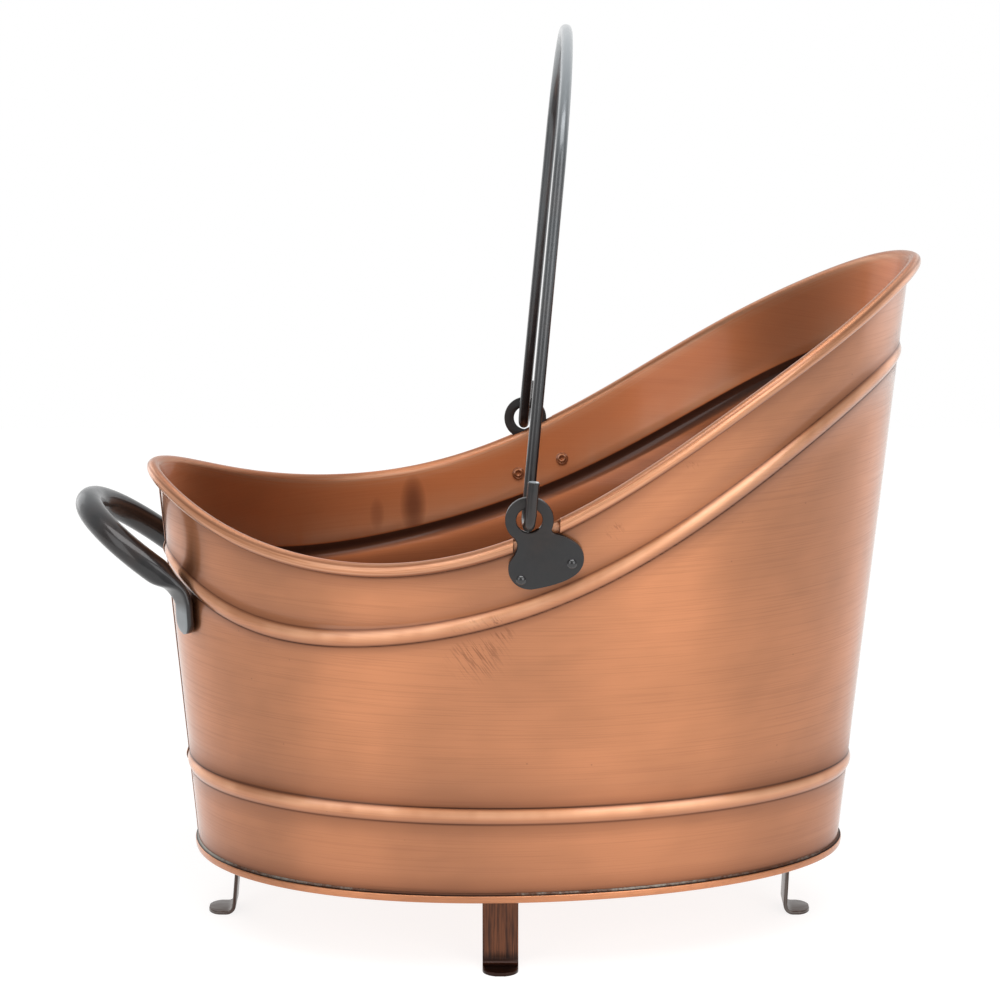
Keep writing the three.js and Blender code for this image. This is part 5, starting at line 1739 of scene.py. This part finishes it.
class HEARTH_OT_rear_handle(bpy.types.Operator):
    """Fixed rear handle"""

    bl_idname = "hearth_bucket.rear_handle"
    bl_label = "Rear handle"

    def execute(self, context):
        """Builds the bar"""
        iron = blackened_iron("blackened_iron_bar", context.scene.bucket_finish, 0.1)
        mesh = handle_mesh(context.scene.bucket_body, context.scene.bucket_handle)
        ride(place("rear_bar", finish_mesh(mesh, iron)), "bucket", "black_iron", "rear_handle")
        return {"FINISHED"}


class HEARTH_OT_feet(bpy.types.Operator):
    """Four strip feet"""

    bl_idname = "hearth_bucket.feet"
    bl_label = "Feet"

    def execute(self, context):
        """Builds the front, left, rear and right foot"""
        foot, body = context.scene.bucket_foot, context.scene.bucket_body
        finish = context.scene.bucket_finish
        brown = dark_strip("dark_copper_strip", finish, finish.strip, 0.95)
        # The front and rear feet get a grey copy of the strip as painted reflection.
        grey = dark_strip("worn_copper_strip", finish, finish.strip_grey_sheen, 0.0)
        side_y = body.half_width - foot.side_inset
        places = {
            "front": ((body.half_length - foot.front_inset, 0), 0, foot.front_splay),
            "left": ((-foot.side_back, side_y), math.pi / 2, foot.side_splay),
            "rear": ((-body.half_length + foot.rear_inset, 0), math.pi, foot.rear_splay),
            "right": ((-foot.side_back, -side_y), -math.pi / 2, foot.side_splay),
        }
        for name, (at, turned, splay) in places.items():
            mesh = foot_mesh(foot, at, turned, splay)
            mesh.transform(Matrix.Translation(stand(body)))
            strip = grey if name in ("front", "rear") else brown
            piece = place(f"foot_strip_{name}", finish_mesh(mesh, strip))
            ride(piece, "bucket", "copper_strip", f"foot_{name}")
        return {"FINISHED"}


class HEARTH_OT_rivets(bpy.types.Operator):
    """Rivets of the ears, the rear handle and the feet"""

    bl_idname = "hearth_bucket.rivets"
    bl_label = "Rivets"

    def execute(self, context):
        """Builds the heads and tails, all of one kind as one piece"""
        scene = context.scene
        size, finish = scene.bucket_rivet, scene.bucket_finish
        iron = blackened_iron("blackened_iron_rivet", finish, 0.28)
        plain = {"brushed": False, "dulled": 0.5}
        marks = (3.3333, 3.3333, 3.3333)
        copper = copper_plate("antique_copper_rivet", scene.bucket_body, finish, marks, **plain)
        ears = [f"ear_{name}_rivet_{end}" for name in SIDES for end in ("front", "rear")]
        handles = [f"rear_handle_rivet_{name}" for name in SIDES]
        feet = [f"foot_{foot}_rivet_{i}" for foot in ("front", "left", "rear", "right") for i in (1, 2)]
        ear_head = headed(size.ear_head / 2, size.ear_head_height, 0.6, size.ear_shank)
        tail = (size.ear_tail / 2, size.ear_tail_height, size.ear_bore / 2, size.ear_bore_depth)
        ear_tail = open_tail(*tail)
        height = size.handle_head_height
        handle_head = headed(size.handle_head / 2, height, 0.5, 1.6 * height, -1)
        height = size.foot_head_height
        foot_head = headed(size.foot_head / 2, height, 0.5, 1.9 * height)
        height = size.foot_tail_height
        foot_tail = headed(size.foot_tail / 2, height, 0.5, 1.9 * height, -1)
        # Each kind: its name, the nodes whose axes it stands on and at which end, its profile and
        # finish, and the nodes that it stands for.
        kinds = (
            ("ear_rivet_heads", ears, 1, ear_head, iron, ears),
            ("ear_rivet_tails", ears, 0, ear_tail, copper, ()),
            ("handle_rivets", handles, 0, handle_head, copper, handles),
            ("foot_rivet_heads", feet, 1, foot_head, copper, feet),
            ("foot_rivet_tails", feet, 0, foot_tail, copper, ()),
        )
        for name, nodes, end, profile, metal, replaced in kinds:
            ride(rivets(name, nodes, end, profile, metal), "bucket", "rivets", *replaced)
        return {"FINISHED"}


class HEARTH_OT_stage(bpy.types.Operator):
    """Pale floor, soft lamps, surroundings and camera"""

    bl_idname = "hearth_bucket.stage"
    bl_label = "Stage"

    def execute(self, context):
        """Sets the stage"""
        scene = context.scene
        scene.view_settings.view_transform = "Standard"
        floor_plane(scene.bucket_finish)
        surroundings(scene)
        for lamp in LAMPS:
            softbox(scene, lamp)
        camera = bpy.data.cameras.new("camera")
        camera.sensor_width = FILM
        camera.lens = LENS
        viewer = bpy.data.objects.new("camera", camera)
        viewer.location = VIEWPOINT
        viewer.rotation_euler = (math.pi / 2 - VIEW_DOWN, 0, 0)
        scene.collection.objects.link(viewer)
        scene.camera = viewer
        return {"FINISHED"}


# The photograph's view: film width and lens in millimetres, where it was taken from, and how far it
# looks down, in radians.
FILM = 36
LENS = 109.415
VIEWPOINT = (2.97 * MM, -1600 * MM, 609.8 * MM)
VIEW_DOWN = 0.23044

# Soft lamps that look at the bucket: where in metres, width and height in metres, and watts. The two
# behind it pale its ends.
Lamp = namedtuple("Lamp", "name at size watts")
LAMPS = (
    Lamp("left_softbox", (-1.25, -1.6, 0.8), (1.0, 1.5), 8),
    Lamp("right_softbox", (1.15, -1.7, 0.8), (1.3, 1.5), 14),
    Lamp("top_softbox", (0.1, -0.9, 1.9), (1.8, 1.0), 22),
    Lamp("side_softbox", (1.5, 0.9, 0.5), (0.9, 1.4), 1.6),
    Lamp("rear_softbox", (-1.3, 1.2, 0.7), (0.9, 1.4), 3.2),
)
AIM = Vector((0, 0, 0.2))
WHITE = (1, 1, 1, 1)


def softbox(scene, lamp):
    """One soft lamp."""
    light = bpy.data.lights.new(lamp.name, "AREA")
    light.shape = "RECTANGLE"
    light.size, light.size_y = lamp.size
    light.energy = lamp.watts
    holder = bpy.data.objects.new(lamp.name, light)
    holder.location = lamp.at
    holder.rotation_euler = (AIM - Vector(lamp.at)).to_track_quat("-Z", "Y").to_euler()
    holder.visible_camera = False
    scene.collection.objects.link(holder)


def seen_mix(tree, plain, shown):
    """Mixes in `shown` for what the camera, metal and glass see."""
    path = add_node(tree, "ShaderNodeLightPath").outputs
    seen = path["Is Camera Ray"]
    for ray in ("Is Glossy Ray", "Is Transmission Ray"):
        seen = add_node(tree, MATH, {0: seen, 1: path[ray]}, operation="MAXIMUM").outputs[0]
    return add_node(tree, "ShaderNodeMixShader", {0: seen, 1: plain, 2: shown})


def floor_plane(finish):
    """Pale paper sweep: it glows a little where it is seen, so that it is near white, and keeps the
    bucket's shadow."""
    reach, steps = 1.3, 8
    spots = np.linspace(-reach, reach, steps + 1)
    mesh = bpy.data.meshes.new("floor_paper")
    vertices = [(x, y, 0) for y in spots for x in spots]
    mesh.from_pydata(vertices, [], grid_faces(steps + 1, steps + 1, wrap_columns=False))
    material, tree = new_material("matt_paper")
    coords = add_node(tree, COORDINATES).outputs["Object"]
    fibres = add_node(tree, NOISE, {"Vector": coords, "Scale": cells(1.6667), "Detail": 2.0})
    tone = layered(tree, finish.stage, [(fibres, finish.stage_fibre)])
    plain = add_node(tree, "ShaderNodeBsdfDiffuse", {0: tone})
    glow = add_node(tree, "ShaderNodeEmission", {0: WHITE, 1: 1.2})
    both = add_node(tree, "ShaderNodeMixShader", {0: 0.7, 1: plain, 2: glow})
    add_node(tree, OUTPUT, {0: seen_mix(tree, plain, both)})
    mesh.materials.append(material)
    place("stage_floor", mesh)


def surroundings(scene):
    """White room: 1 where it is seen, less as a light, and dimmer in front where metal mirrors it."""
    world = bpy.data.worlds.new("white_room")
    world.use_nodes = True
    tree = world.node_tree
    tree.nodes.clear()
    plain = add_node(tree, "ShaderNodeBackground", {0: WHITE, 1: 0.45})
    white = add_node(tree, "ShaderNodeBackground", {0: WHITE, 1: 1.0})
    way = add_node(tree, SEPARATE, {0: add_node(tree, COORDINATES).outputs["Generated"]})
    back = add_node(tree, MAP_RANGE, {0: way.outputs["Y"], 1: -0.1, 2: 0.5, 3: 0.5, 4: 1.0})
    room = add_node(tree, "ShaderNodeBackground", {0: WHITE, 1: back})
    path = add_node(tree, "ShaderNodeLightPath").outputs
    mirrored = add_node(tree, "ShaderNodeMixShader", {0: path["Is Glossy Ray"], 1: white, 2: room})
    add_node(tree, "ShaderNodeOutputWorld", {0: seen_mix(tree, plain, mirrored)})
    scene.world = world


class HEARTH_PT_panel(bpy.types.Panel):
    """Sizes, finishes and pieces of the bucket"""

    bl_label = "Hearth Bucket"
    bl_space_type = "VIEW_3D"
    bl_region_type = "UI"
    bl_category = "Hearth Bucket"

    def draw(self, context):
        """Lists the pieces, and then the sizes and colours"""
        for operator in OPERATORS:
            self.layout.operator(operator.bl_idname)
        for name, group in GROUPS.items():
            box = self.layout.box()
            box.label(text=group.__doc__)
            for key in group.__annotations__:
                box.prop(getattr(context.scene, name), key)


OPERATORS = (
    HEARTH_OT_body,
    HEARTH_OT_floor,
    HEARTH_OT_ears,
    HEARTH_OT_bail,
    HEARTH_OT_rear_handle,
    HEARTH_OT_feet,
    HEARTH_OT_rivets,
    HEARTH_OT_stage,
)
CLASSES = (*GROUPS.values(), *OPERATORS, HEARTH_PT_panel)


def register():
    """Adds the classes and their settings to Blender."""
    for each in CLASSES:
        bpy.utils.register_class(each)
    for name, group in GROUPS.items():
        setattr(bpy.types.Scene, name, bpy.props.PointerProperty(type=group))


def unregister():
    """Takes them out again."""
    for name in GROUPS:
        delattr(bpy.types.Scene, name)
    for each in reversed(CLASSES):
        bpy.utils.unregister_class(each)


def main():
    """Builds the bucket on its stage."""
    register()
    for operator in OPERATORS:
        piece = operator.bl_idname.split(".")[1]
        getattr(bpy.ops.hearth_bucket, piece)()


if __name__ == "__main__":
    main()
